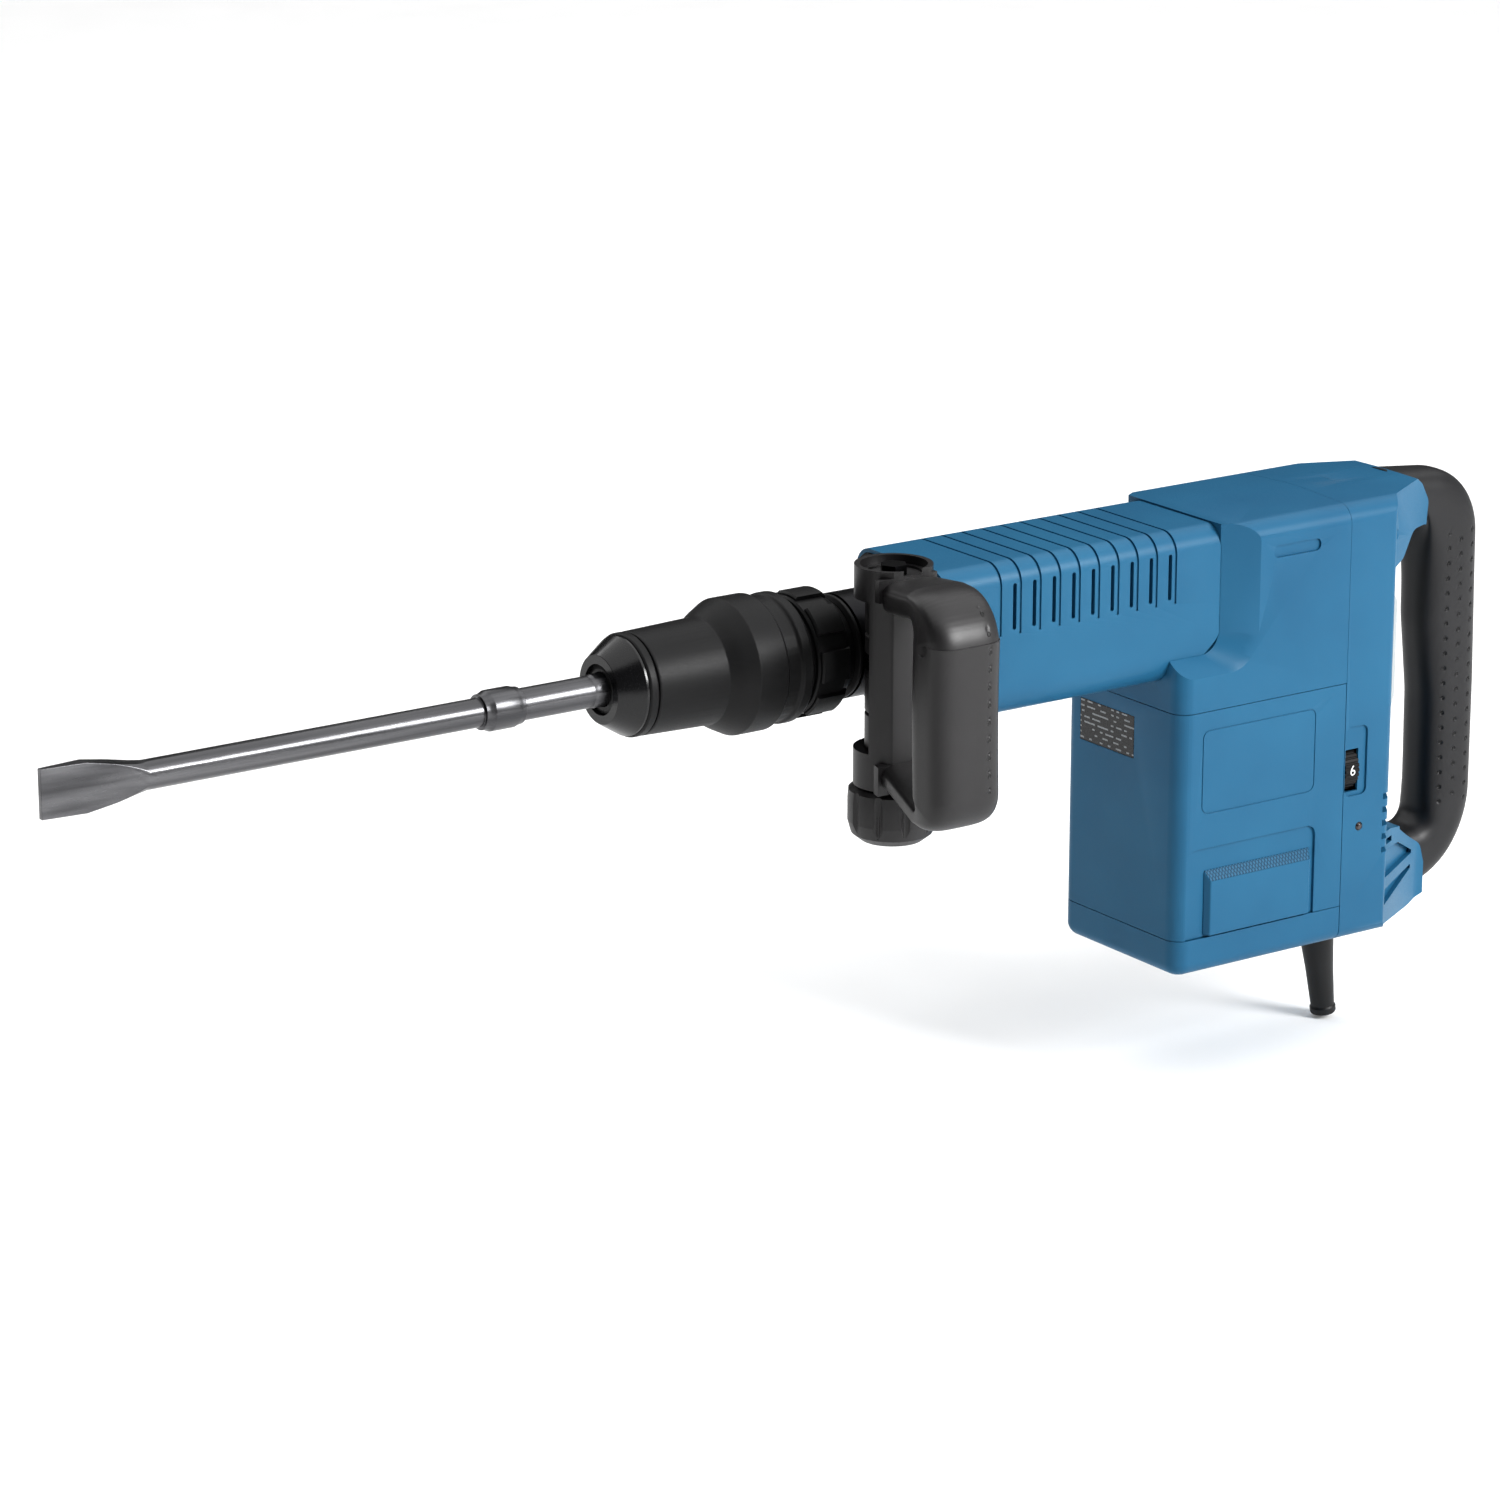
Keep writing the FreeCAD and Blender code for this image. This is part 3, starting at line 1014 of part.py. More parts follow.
def make_dial_bracket():
    """The potentiometer that carries the speed dial on its spindle."""
    body = box((DIAL_X + 6, DIAL_X + 15), (-INNER + SEAT, DIAL_Y + 9), (DIAL_Z - 9, DIAL_Z + 9))
    spindle = cylinder("x", 3.0, (DIAL_X - 4, DIAL_X + 7), (DIAL_Y, DIAL_Z))
    return joined([body, spindle])


def make_speed_dial():
    wheel = pipe("x", 3.0 + RUN, DIAL_R, (DIAL_X - 5, DIAL_X + 5), (DIAL_Y, DIAL_Z))
    notch = cylinder("x", 0.7, (DIAL_X - 6, DIAL_X + 6), (DIAL_Y + DIAL_R, DIAL_Z))
    centre = V(DIAL_X, DIAL_Y, DIAL_Z)
    return less(wheel, around(notch, 30, centre, V(1, 0, 0), 6))


def make_service_lamp():
    y = -BODY_HALF
    return joined([cylinder("y", 2.55, (y + 0.4, y + 5), (481.5, -147)),
                   Part.makeSphere(2.55, V(481.5, y + 1.2, -147)).common(
                       cylinder("y", 2.55, (y - 1, y + 2), (481.5, -147)))])


def make_cable_boot():
    """The smooth rubber bend relief that the cord leaves through, with a lipped end and a head in the casing."""
    profile = [(CORD_R, 0), (8.5, 0), (11.5, 0.5), (11.5, 4), (8.5, 5), (8.5, 12), (11, 12.5), (10.4, 20),
               (8.2, 45), (6.9, BOOT_LENGTH - 5), (7.6, BOOT_LENGTH - 4), (7.6, BOOT_LENGTH - 1),
               (7.0, BOOT_LENGTH), (CORD_R, BOOT_LENGTH)]
    points = [V(r, 0, -z) for r, z in profile]
    boot = Part.Face(Part.makePolygon(points + points[:1])).revolve(V(0, 0, 0), V(0, 0, 1), 360)
    boot.rotate(V(0, 0, 0), V(0, 1, 0), -BOOT_LEAN)
    boot.translate(V(BOOT_X, 0, BOOT_TOP))
    return boot


def make_cable_clamp():
    """The bar over the cord's jacket inside the casing, with its two pillars on the casing floor."""
    floor = BOTTOM_Z + WALL + SEAT
    pillars = [box((BOOT_X - 12, BOOT_X - 1), sorted((side * 15.0, side * 21.0)), (floor, floor + 18))
               for side in (1, -1)]
    bar = box((BOOT_X - 12, BOOT_X - 1), (-21, 21), (floor + 12, floor + 18))
    hole = cylinder("z", CORD_R + 1.5, (floor, floor + 20), (BOOT_X - 4, 0))
    return less(joined(pillars + [bar]), [hole])


# ---------------------------------------------------------------- side handle
def make_clamp_band():
    """A steel band round the neck, split on its near side into two ears."""
    ring = pipe("x", NECK_R + SEAT, BAND_R, BAND_X)
    split = box((BAND_X[0] - 1, BAND_X[1] + 1), (-60, 0), (-1.5, 1.5))
    solid = [ring.cut(split)]
    for side in (1, -1):
        z = sorted((side * 1.5, side * 6.0))
        ear = box(BAND_X, (BOLT_Y - 9, -NECK_R + 1), z)
        ear = ear.cut(cylinder("x", NECK_R + SEAT, (BAND_X[0] - 1, BAND_X[1] + 1)))
        tip = box(BAND_X, (BOLT_Y - 10, BOLT_Y), (-10, 10)).cut(cylinder("z", EAR_R, (-11, 11), (BOLT_X, BOLT_Y)))
        ear = ear.cut(tip)
        solid.append(ear)
    whole = joined(solid)
    return less(whole, [cylinder("z", BOLT_R + SEAT, (-20, 20), (BOLT_X, BOLT_Y))])


def make_clamp_bushes():
    """Two bushes that press on the band's ears from above and below; the handle's hub turns on them."""
    across = (BOLT_X, BOLT_Y)
    reach = cylinder("x", BAND_R + SEAT, (100, 200))
    upper = cylinder("z", EAR_R, (6.0 + SEAT, HUB_Z[1] - 1), across)
    lower = cylinder("z", EAR_R, (HUB_Z[0], -6.0 - SEAT), across)
    hole = cylinder("z", BOLT_R + SEAT, (-100, 100), across)
    groove = pipe("z", EAR_R - 1.2, EAR_R + 1, (16, 17.5), across)
    groove_low = pipe("z", EAR_R - 1.2, EAR_R + 1, (-27, -25.5), across)
    return [less(upper, [reach, hole, groove]), less(lower, [reach, hole, groove_low])]


def make_clamp_bolt():
    across = (BOLT_X, BOLT_Y)
    shank = cylinder("z", BOLT_R, (KNOB_Z[0] + 6, HUB_Z[1] + 1), across)
    hexagon = Part.makePolygon([V(BOLT_X + 7.5 * math.cos(a), BOLT_Y + 7.5 * math.sin(a), HUB_Z[1] - 1 + SEAT)
                                for a in [math.pi * i / 3 for i in range(7)]])
    head = Part.Face(hexagon).extrude(V(0, 0, 5.0))
    return joined([shank, head])


def make_clamp_knob():
    """The round knob under the hub. It draws the bolt down."""
    low, high = KNOB_Z
    body = turned_z([(BOLT_R + RUN, low + 8), (BOLT_R + RUN, high), (20, high), (KNOB_R - 0.5, high - 2),
                     (KNOB_R, high - 8), (KNOB_R, low + 11), (KNOB_R - 2, low + 4), (KNOB_R - 7, low), (0, low),
                     (0, low + 5), (BOLT_R + RUN, low + 5)], BOLT_X, BOLT_Y)
    flute = cylinder("z", 3.0, (low - 1, high + 1), (BOLT_X + KNOB_R + 1.6, BOLT_Y))
    return less(body, around(flute, 10, V(BOLT_X, BOLT_Y, 0), V(0, 0, 1)))


def side_bar_x(r, z):
    half = r * 1.4
    return rounded_box((SIDE_BAR_X - half, SIDE_BAR_X + half), (SIDE_BAR_Y - r, SIDE_BAR_Y + r), z, r * 0.8)


def make_side_handle_frame():
    """Hub with a window toward the neck, two arms and the bar's core."""
    across = (BOLT_X, BOLT_Y)
    hub = pipe("z", EAR_R + SEAT, HUB_R, HUB_Z, across)
    rim = pipe("z", HUB_R - 3.0, HUB_R, (HUB_Z[1] - 1, HUB_Z[1] + 4.6), across)
    x = (SIDE_BAR_X - 19, BOLT_X + HUB_R)
    plan = plate("xy", [(BOLT_X - HUB_R + 2, BOLT_Y), (BOLT_X + HUB_R - 2, BOLT_Y),
                        (SIDE_BAR_X + 18, SIDE_BAR_Y - 5, 6), (SIDE_BAR_X - 18, SIDE_BAR_Y - 5, 6)], (-100, 100))
    upper = plate("yz", [(BOLT_Y - 12, 51), (BOLT_Y - 12, 39), (SIDE_BAR_Y + 12, 41, 10), (SIDE_BAR_Y - 5, 44),
                         (SIDE_BAR_Y - 5, 57, 4)], x).common(plan)
    lower = plate("yz", [(BOLT_Y - 12, HUB_Z[0]), (BOLT_Y - 12, -50), (SIDE_BAR_Y - 5, -58), (SIDE_BAR_Y - 5, -72)],
                  x).common(plan)
    core = rounded_box(CORE_X, (SIDE_BAR_Y - 7, SIDE_BAR_Y + 7), CORE_Z, 4)
    window = cylinder("z", HUB_R + 2, HUB_WINDOW_Z, across).cut(plate("xy", [
        (BOLT_X, BOLT_Y + 4), (BOLT_X - 40, BOLT_Y - 16), (BOLT_X - 40, BOLT_Y - 60), (BOLT_X + 40, BOLT_Y - 60),
        (BOLT_X + 40, BOLT_Y - 16)], HUB_WINDOW_Z))
    clear = cylinder("z", EAR_R + SEAT, (-100, 100), across)
    solid = joined([hub.cut(window), upper.cut(clear), lower.cut(clear), core])
    return joined([solid, rim])


def make_side_grip():
    """The rubber sleeve on the side handle's bar."""
    z0, z1 = SIDE_BAR_Z
    outer = side_bar_x(SIDE_BAR_R, (z0, z1))
    ends = plate("yz", [(SIDE_BAR_Y - SIDE_BAR_R, z0, 10), (SIDE_BAR_Y + SIDE_BAR_R, z0 + 4, 8),
                        (SIDE_BAR_Y + SIDE_BAR_R, z1 - 4, 8), (SIDE_BAR_Y - SIDE_BAR_R, z1, 10)], (100, 200))
    half = SIDE_BAR_R * 1.4
    face = plate("xz", [(SIDE_BAR_X - half, z0, 15), (SIDE_BAR_X + half, z0, 15), (SIDE_BAR_X + half, z1, 21),
                        (SIDE_BAR_X - half, z1, 21)], (-200, 0))
    return outer.common(ends).common(face)


# ---------------------------------------------------------------- build and write
def main():
    frame = make_side_handle_frame()
    rollers = make_locking_rollers()
    pieces = {
        "chisel": make_chisel(), "tool_holder": make_tool_holder(), "dust_cap": make_dust_cap(),
        "shank_seal": make_shank_seal(), "cap_ring": make_cap_ring(), "locking_sleeve": make_locking_sleeve(),
        "roller_upper": rollers[0], "roller_lower": rollers[1],
        "sleeve_spring": make_sleeve_spring(), "holder_cover": make_holder_cover(),
        "angle_ring": make_angle_ring(), "neck_ring": make_neck_ring(), "beat_piece": make_beat_piece(),
        "beat_guide_ring": make_beat_guide_ring(), "hammer_tube": make_hammer_tube(),
        "striker": [make_striker(), seal_ring(STRIKER_X[0] + 20)],
        "piston": [make_piston(), seal_ring(PISTON_FRONT + 6)],
        "piston_pin": make_piston_pin(), "connecting_rod": make_connecting_rod(),
        "crank_pin": [make_crank_pin(), make_crank_pin_bearing()], "crankshaft": make_crankshaft(),
        "crank_gear": make_crank_gear(), "ball_bearings": make_crank_bearings() + make_motor_bearings(),
        "gear_housing": make_gear_housing(), "crank_cover": make_crank_cover(),
        "gearbox_plate": make_gearbox_plate(), "gearbox_screws": make_gearbox_screws() + make_collar_screws(),
        "stator": make_stator(), "field_coils": make_field_coils(),
        "armature": [make_armature(), make_commutator()], "fan": make_fan(), "fan_baffle": make_fan_baffle(),
        "brush_holders": make_brush_holders(), "carbon_brushes": make_carbon_brushes(),
        "barrel_shell": make_barrel_shell(), "front_collar": make_front_collar(),
        "upper_housing": make_upper_housing(), "motor_housing": make_motor_housing(),
        "rating_plate": make_rating_plate(), "side_panels": [make_side_panel(-1), make_side_panel(1)],
        "base_cover": make_base_cover(), "casing_screws": make_base_screws() + make_rear_screws(),
        "rear_shell": make_rear_shell(), "rear_grip": make_rear_grip(), "switch_paddle": make_switch_paddle(),
        "switch_pin": make_switch_pin(), "switch_body": make_switch_body(), "switch_spring": make_switch_spring(),
        "electronics_module": make_electronics_module(), "dial_bracket": make_dial_bracket(),
        "speed_dial": make_speed_dial(), "service_lamp": make_service_lamp(), "cable_boot": make_cable_boot(),
        "cable_clamp": make_cable_clamp(), "clamp_band": make_clamp_band(), "clamp_bushes": make_clamp_bushes(),
        "clamp_bolt": make_clamp_bolt(), "clamp_knob": make_clamp_knob(), "side_handle_frame": frame,
        "side_grip": make_side_grip().cut(frame),
    }
    for name, shape in pieces.items():
        export(name, Part.makeCompound(shape) if isinstance(shape, list) else shape)


main()
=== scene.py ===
# %% [markdown]
# # An electric jackhammer, dressed for its portrait
# The engineering model is already packed: every casing, gear and spring is a named node, and the nodes
# that move ride on named bodies. This lesson loads that frame, measures it, gives every node a finish and
# builds finer surfaces where a plain solid isn't good enough to look at. Nothing that the frame holds is
# moved, because the joints depend on it.

# %% Load the frame and measure it
import json
import math

import bmesh
import bpy
import numpy as np
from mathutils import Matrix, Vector


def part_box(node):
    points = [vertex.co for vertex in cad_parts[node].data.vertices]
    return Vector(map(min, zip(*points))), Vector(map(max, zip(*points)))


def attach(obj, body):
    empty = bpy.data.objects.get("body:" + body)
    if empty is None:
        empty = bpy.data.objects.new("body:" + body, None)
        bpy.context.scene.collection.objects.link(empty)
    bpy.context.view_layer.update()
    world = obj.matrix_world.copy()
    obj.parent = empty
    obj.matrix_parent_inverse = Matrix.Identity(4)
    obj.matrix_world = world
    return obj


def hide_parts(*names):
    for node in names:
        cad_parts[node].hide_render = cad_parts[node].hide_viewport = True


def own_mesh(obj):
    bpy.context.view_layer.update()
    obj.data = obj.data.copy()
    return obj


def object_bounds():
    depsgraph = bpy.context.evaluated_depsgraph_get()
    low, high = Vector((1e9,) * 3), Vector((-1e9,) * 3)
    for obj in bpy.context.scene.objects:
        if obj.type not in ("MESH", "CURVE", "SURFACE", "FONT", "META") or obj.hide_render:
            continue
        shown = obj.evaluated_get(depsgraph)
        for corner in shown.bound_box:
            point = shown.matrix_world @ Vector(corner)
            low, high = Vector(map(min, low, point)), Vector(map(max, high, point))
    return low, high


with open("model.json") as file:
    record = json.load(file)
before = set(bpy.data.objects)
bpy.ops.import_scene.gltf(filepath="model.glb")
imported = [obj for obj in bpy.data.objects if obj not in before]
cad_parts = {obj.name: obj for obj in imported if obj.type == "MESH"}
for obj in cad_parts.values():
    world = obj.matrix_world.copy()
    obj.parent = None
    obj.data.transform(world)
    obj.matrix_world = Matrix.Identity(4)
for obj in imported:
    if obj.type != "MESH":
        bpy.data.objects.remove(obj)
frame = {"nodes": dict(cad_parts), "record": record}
cad_bounds = [[float(c) for c in corner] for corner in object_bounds()]
MM = 0.001

# %% [markdown]
# ## Meshes from arrays
# A surface here is a function of two parameters, worked out as one numpy array of points. One helper turns
# such a grid into a mesh: it joins neighbouring points with four-sided faces, closes the ends when asked,
# and turns the faces outwards by the sign of the enclosed volume.


# %% Grid surfaces
def grid_mesh(name, points, wrap=True, caps=True):
    """A mesh over points[i, j]; j runs round the section and closes on itself when wrap is true.
    The enclosed volume is the sum of a . (b x c) / 6 over its triangles; if negative, faces are flipped."""
    rows, cols = points.shape[:2]
    index = np.arange(rows * cols).reshape(rows, cols)
    after = np.roll(index, -1, axis=1) if wrap else index[:, 1:]
    here = index if wrap else index[:, :-1]
    quads = np.stack([here[:-1], after[:-1], after[1:], here[1:]], axis=-1).reshape(-1, 4)
    verts = points.reshape(-1, 3)
    a, b, c, d = (verts[quads[:, k]] for k in range(4))
    volume = (np.einsum("ij,ij->i", a, np.cross(b, c)) + np.einsum("ij,ij->i", a, np.cross(c, d))).sum()
    faces = quads.tolist()
    if wrap and caps:
        faces += [index[0, ::-1].tolist(), index[-1].tolist()]
    if volume < 0:
        faces = [face[::-1] for face in faces]
    mesh = bpy.data.meshes.new(name)
    mesh.from_pydata(verts.tolist(), [], faces)
    mesh.validate()
    piece = bpy.data.objects.new(name, mesh)
    bpy.context.scene.collection.objects.link(piece)
    smooth(piece, 35)
    return piece


def smooth(piece, angle):
    """Smooth shading, with edges sharper than the angle kept crisp."""
    mesh = piece.data
    mesh.shade_smooth()
    mesh.set_sharp_from_angle(angle=math.radians(angle))


WELD_DIST = 2e-6  # metres: joins points that are the same point
FLAT_ANGLE = 0.6  # degrees: faces closer than this are one flat face


def merged_copy(name, node):
    """A copy of a CAD node with its loose triangles welded and its flat faces made whole."""
    piece = bpy.data.objects.new(name, frame["nodes"][node].data.copy())
    bpy.context.scene.collection.objects.link(piece)
    work = bmesh.new()
    work.from_mesh(piece.data)
    bmesh.ops.remove_doubles(work, verts=work.verts, dist=WELD_DIST)
    bmesh.ops.dissolve_limit(work, angle_limit=math.radians(FLAT_ANGLE), verts=work.verts, edges=work.edges)
    work.to_mesh(piece.data)
    work.free()
    return piece


def soften(node, width_mm, angle=32, segments=3):
    """Stands a copy with rounded edges in for a CAD node. Edges sharper than the angle get the radius."""
    piece = merged_copy(node + "_soft", node)
    bevel = piece.modifiers.new("rounded_edges", "BEVEL")
    bevel.width = width_mm * MM
    bevel.segments = segments
    bevel.limit_method = "ANGLE"
    bevel.angle_limit = math.radians(angle)
    bevel.harden_normals = True
    bevel.use_clamp_overlap = True
    smooth(piece, angle)
    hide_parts(node)
    return piece


print("helpers ready")

# %% [markdown]
# ## Colours and node trees
# Paint makers and screens give colours as sRGB hex. Cycles works in linear light, so one function does the
# conversion. One small function adds a shader node, sets its values and makes its links, which keeps each
# finish short enough to read as a recipe.


# %% Material helpers
def linear(hex_text):
    """sRGB hex to linear: c / 12.92 below 0.04045, else ((c + 0.055) / 1.055) ** 2.4."""
    parts = [int(hex_text[k:k + 2], 16) / 255 for k in (1, 3, 5)]
    return tuple(c / 12.92 if c <= 0.04045 else ((c + 0.055) / 1.055) ** 2.4 for c in parts) + (1.0,)


def add(tree, kind, links=None, **settings):
    """Adds one node. Settings named in_X go to input X; the others are the node's own properties."""
    node = tree.nodes.new(kind)
    for key, value in settings.items():
        if key.startswith("in_"):
            node.inputs[key[3:].replace("_", " ")].default_value = value
        else:
            setattr(node, key, value)
    for socket, source in (links or {}).items():
        tree.links.new(source, node.inputs[socket])
    return node


def ramp(tree, source, stops):
    """A colour ramp over (position, hex) stops."""
    node = add(tree, "ShaderNodeValToRGB", {"Fac": source})
    elements = node.color_ramp.elements
    while len(elements) < len(stops):
        elements.new(0.5)
    for element, (position, colour) in zip(elements, stops):
        element.position = position
        element.color = linear(colour)
    return node.outputs["Color"]


def span(tree, source, low, high, start=0.0, stop=1.0):
    """Maps a value from start..stop to low..high."""
    node = add(tree, "ShaderNodeMapRange", {"Value": source})
    for key, value in (("From Min", start), ("From Max", stop), ("To Min", low), ("To Max", high)):
        node.inputs[key].default_value = value
    return node.outputs["Result"]


NOISE_SPAN = (0.3, 0.7)  # a noise texture rarely leaves this part of 0..1


def finish(name, stops, rough, grain_mm, relief_mm, metallic=0.0, stretch=(1, 1, 1), ior=None, mottle_mm=60,
           **surface):
    """A solid finish: a colour ramp over broad mottling, roughness that varies, and a fine raised grain.
    The noise scale is 1 / size, because Object coordinates are in metres. A stretch below 1 draws the pattern
    out along that axis."""
    material = bpy.data.materials.new(name)
    material.use_nodes = True
    tree = material.node_tree
    shader = tree.nodes["Principled BSDF"]
    where = add(tree, "ShaderNodeTexCoord").outputs["Object"]
    laid = add(tree, "ShaderNodeMapping", {"Vector": where}, in_Scale=stretch).outputs["Vector"]
    broad = add(tree, "ShaderNodeTexNoise", {"Vector": laid}, in_Scale=1 / (mottle_mm * MM), in_Detail=3.0)
    fine = add(tree, "ShaderNodeTexNoise", {"Vector": laid}, in_Scale=1 / (grain_mm * MM), in_Detail=2.0)
    tone = span(tree, broad.outputs["Fac"], 0, 1, *NOISE_SPAN)
    tree.links.new(ramp(tree, tone, stops), shader.inputs["Base Color"])
    tree.links.new(span(tree, fine.outputs["Fac"], *rough, *NOISE_SPAN), shader.inputs["Roughness"])
    bump = add(tree, "ShaderNodeBump", {"Height": fine.outputs["Fac"]}, in_Strength=0.6,
               in_Distance=relief_mm * MM)
    tree.links.new(bump.outputs["Normal"], shader.inputs["Normal"])
    shader.inputs["Metallic"].default_value = metallic
    if ior:
        shader.inputs["IOR"].default_value = ior
    for key, value in surface.items():
        shader.inputs[key.replace("_", " ")].default_value = value
    return material


def dress(piece, material):
    """Gives a piece one material in every slot."""
    piece.data.materials.clear()
    piece.data.materials.append(material)
    piece.data.polygons.foreach_set("material_index", np.zeros(len(piece.data.polygons), np.int32))
    return piece


print("material helpers ready")

# %% [markdown]
# ## Patterns by arithmetic
# Dimples, a knurled strip and the lines of a rating plate are too small to be worth faces of their own. They
# are drawn by arithmetic on the Object coordinates, which are metres here, so a pitch of 9 mm is 0.009. Each
# pattern is a mask of 0 and 1. One function mixes a colour in where the mask is 1 and sinks the surface.


# %% Pattern helpers
def step_math(tree, operation, *values):
    """One Math node over sockets or plain numbers."""
    node = add(tree, "ShaderNodeMath", operation=operation)
    for k, value in enumerate(values):
        if isinstance(value, (int, float)):
            node.inputs[k].default_value = value
        else:
            tree.links.new(value, node.inputs[k])
    return node.outputs["Value"]


def place_axes(tree):
    """The X, Y and Z of the Object coordinates, in metres."""
    where = add(tree, "ShaderNodeTexCoord").outputs["Object"]
    apart = add(tree, "ShaderNodeSeparateXYZ", {"Vector": where})
    return apart.outputs["X"], apart.outputs["Y"], apart.outputs["Z"]


def darken(material, mask, colour, relief_mm):
    """Mixes a colour in where the mask is 1 and sinks the surface there by a bump under the grain."""
    tree = material.node_tree
    shader = tree.nodes["Principled BSDF"]
    base = shader.inputs["Base Color"].links[0].from_socket
    grain = shader.inputs["Normal"].links[0].from_node
    mix = add(tree, "ShaderNodeMix", data_type="RGBA")
    tree.links.new(mask, mix.inputs["Factor"])
    tree.links.new(base, mix.inputs["A"])
    mix.inputs["B"].default_value = linear(colour)
    tree.links.new(mix.outputs["Result"], shader.inputs["Base Color"])
    sink = add(tree, "ShaderNodeBump", {"Height": mask}, in_Strength=0.9, in_Distance=relief_mm * MM,
               invert=True)
    tree.links.new(sink.outputs["Normal"], grain.inputs["Normal"])
    return material


SOFT_RIM = 0.6  # share of a dot's radius where its rim starts to fade


def dot_rows(tree, rows, pitch, radius, z_span):
    """1 inside round dots: for each row, the distance from (x - row, z wrapped to the pitch) to the centre."""
    x, _, z = place_axes(tree)
    inside = step_math(tree, "MULTIPLY", step_math(tree, "GREATER_THAN", z, z_span[0] * MM),
                       step_math(tree, "LESS_THAN", z, z_span[1] * MM))
    mask = None
    for row_x, stagger in rows:
        dx = step_math(tree, "SUBTRACT", x, row_x * MM)
        dz = step_math(tree, "WRAP", step_math(tree, "SUBTRACT", z, (z_span[0] + stagger * pitch) * MM),
                       pitch / 2 * MM, -pitch / 2 * MM)
        far = step_math(tree, "SQRT", step_math(tree, "ADD", step_math(tree, "MULTIPLY", dx, dx),
                                                step_math(tree, "MULTIPLY", dz, dz)))
        dot = step_math(tree, "MULTIPLY", span(tree, far, 1, 0, radius * SOFT_RIM * MM, radius * MM), inside)
        mask = dot if mask is None else step_math(tree, "MAXIMUM", mask, dot)
    return mask


print("pattern helpers ready")

# %% [markdown]
# ## Plastics and rubber
# Tool casings are injection moulded from nylon filled with short glass fibre. The mould is spark eroded, so
# the skin has a fine even grain of about 0.15 mm that spreads each highlight. Grain that fine vanishes at
# this distance, so it is drawn at 0.5 mm with a very low relief. The grips are thermoplastic rubber, about as
# dull as the hard black parts but with a slightly finer and deeper grain.

# %% Moulded finishes
BLUE_STOPS = [(0.0, "#245B7B"), (1.0, "#296484")]
blue_nylon = finish("moulded_blue_nylon", BLUE_STOPS, (0.34, 0.44), 0.55, 0.03, ior=1.53, mottle_mm=90,
                    Specular_IOR_Level=0.2)
black_nylon = finish("moulded_black_nylon", [(0.0, "#111112"), (1.0, "#171718")], (0.42, 0.54), 0.5, 0.03,
                     ior=1.45, Specular_IOR_Level=0.3)
satin_nylon = finish("satin_black_nylon", [(0.0, "#1C1B1C"), (1.0, "#232223")], (0.38, 0.48), 0.5, 0.03,
                     ior=1.5)
cap_polymer = finish("polished_black_polymer", [(0.0, "#0B0B0C"), (1.0, "#101012")], (0.2, 0.28), 0.8, 0.015,
                    ior=1.5)
grip_rubber = finish("soft_grip_rubber", [(0.0, "#121213"), (1.0, "#181819")], (0.42, 0.54), 0.45, 0.035,
                     ior=1.45)
seal_rubber = finish("nitrile_seal_rubber", [(0.0, "#101010"), (1.0, "#19191A")], (0.45, 0.6), 0.6, 0.03,
                     ior=1.52)
grey_nylon = finish("moulded_grey_nylon", [(0.0, "#A3A8AA"), (1.0, "#B0B4B5")], (0.38, 0.5), 0.5, 0.03,
                    ior=1.53)
label_film = finish("printed_label_film", [(0.0, "#0E0F11"), (1.0, "#15171A")], (0.22, 0.32), 1.2, 0.01,
                    ior=1.49)
dial_print = finish("pad_printed_white", [(0.0, "#E9ECEC"), (1.0, "#F4F5F4")], (0.4, 0.5), 0.5, 0.005, ior=1.5)
potting = finish("potted_circuit_board", [(0.0, "#1F4A30"), (1.0, "#2B5A3B")], (0.3, 0.45), 2.0, 0.1, ior=1.5)
switch_case = finish("moulded_cream_polyester", [(0.0, "#A7A290"), (1.0, "#B4AF9C")], (0.4, 0.5), 0.6, 0.03,
                     ior=1.55)
lamp_lens = finish("tinted_lens", [(0.0, "#241D1D"), (1.0, "#302626")], (0.06, 0.12), 2.0, 0.005, ior=1.49,
                   Coat_Weight=0.6)
print("moulded finishes:", len(bpy.data.materials))

# %% [markdown]
# ## A rating plate that says nothing
# A rating plate has lines of small pale print. Cells of 2.4 by 3.1 mm cover it, a white noise gives each cell
# a number, and a cell above the threshold carries a dash along its foot. It looks like print from a distance,
# and it holds no letters.

# %% Rating plate lines
DASH_WIDE, LINE_HIGH = 2.4, 3.1
INK_SHARE, SKIP_SHARE = 0.32, 0.55
label_tree = label_film.node_tree
_, label_y, label_z = place_axes(label_tree)
cell_y = step_math(label_tree, "FLOOR", step_math(label_tree, "DIVIDE", label_y, DASH_WIDE * MM))
cell_z = step_math(label_tree, "FLOOR", step_math(label_tree, "DIVIDE", label_z, LINE_HIGH * MM))
cell = add(label_tree, "ShaderNodeCombineXYZ", {"X": cell_y, "Y": cell_z}).outputs["Vector"]
chance = add(label_tree, "ShaderNodeTexWhiteNoise", {"Vector": cell}).outputs["Value"]
height_in_line = step_math(label_tree, "FLOORED_MODULO", label_z, LINE_HIGH * MM)
in_line = step_math(label_tree, "LESS_THAN", height_in_line, INK_SHARE * LINE_HIGH * MM)
inked = step_math(label_tree, "MULTIPLY", step_math(label_tree, "GREATER_THAN", chance, SKIP_SHARE), in_line)
darken(label_film, inked, "#8D9092", 0.01)
print("rating plate cells:", DASH_WIDE, "x", LINE_HIGH, "mm")

# %% [markdown]
# ## Metals
# The chisel is drop forged and then ground along its length, so its scratches run with the axis: the noise
# is drawn out fifty times along X. Turned parts inside have a fine even grain of 0.3 mm. The gear housing is
# sand cast and keeps a coarse skin. Laminations are oxidised sheet, and the windings are enamelled copper.


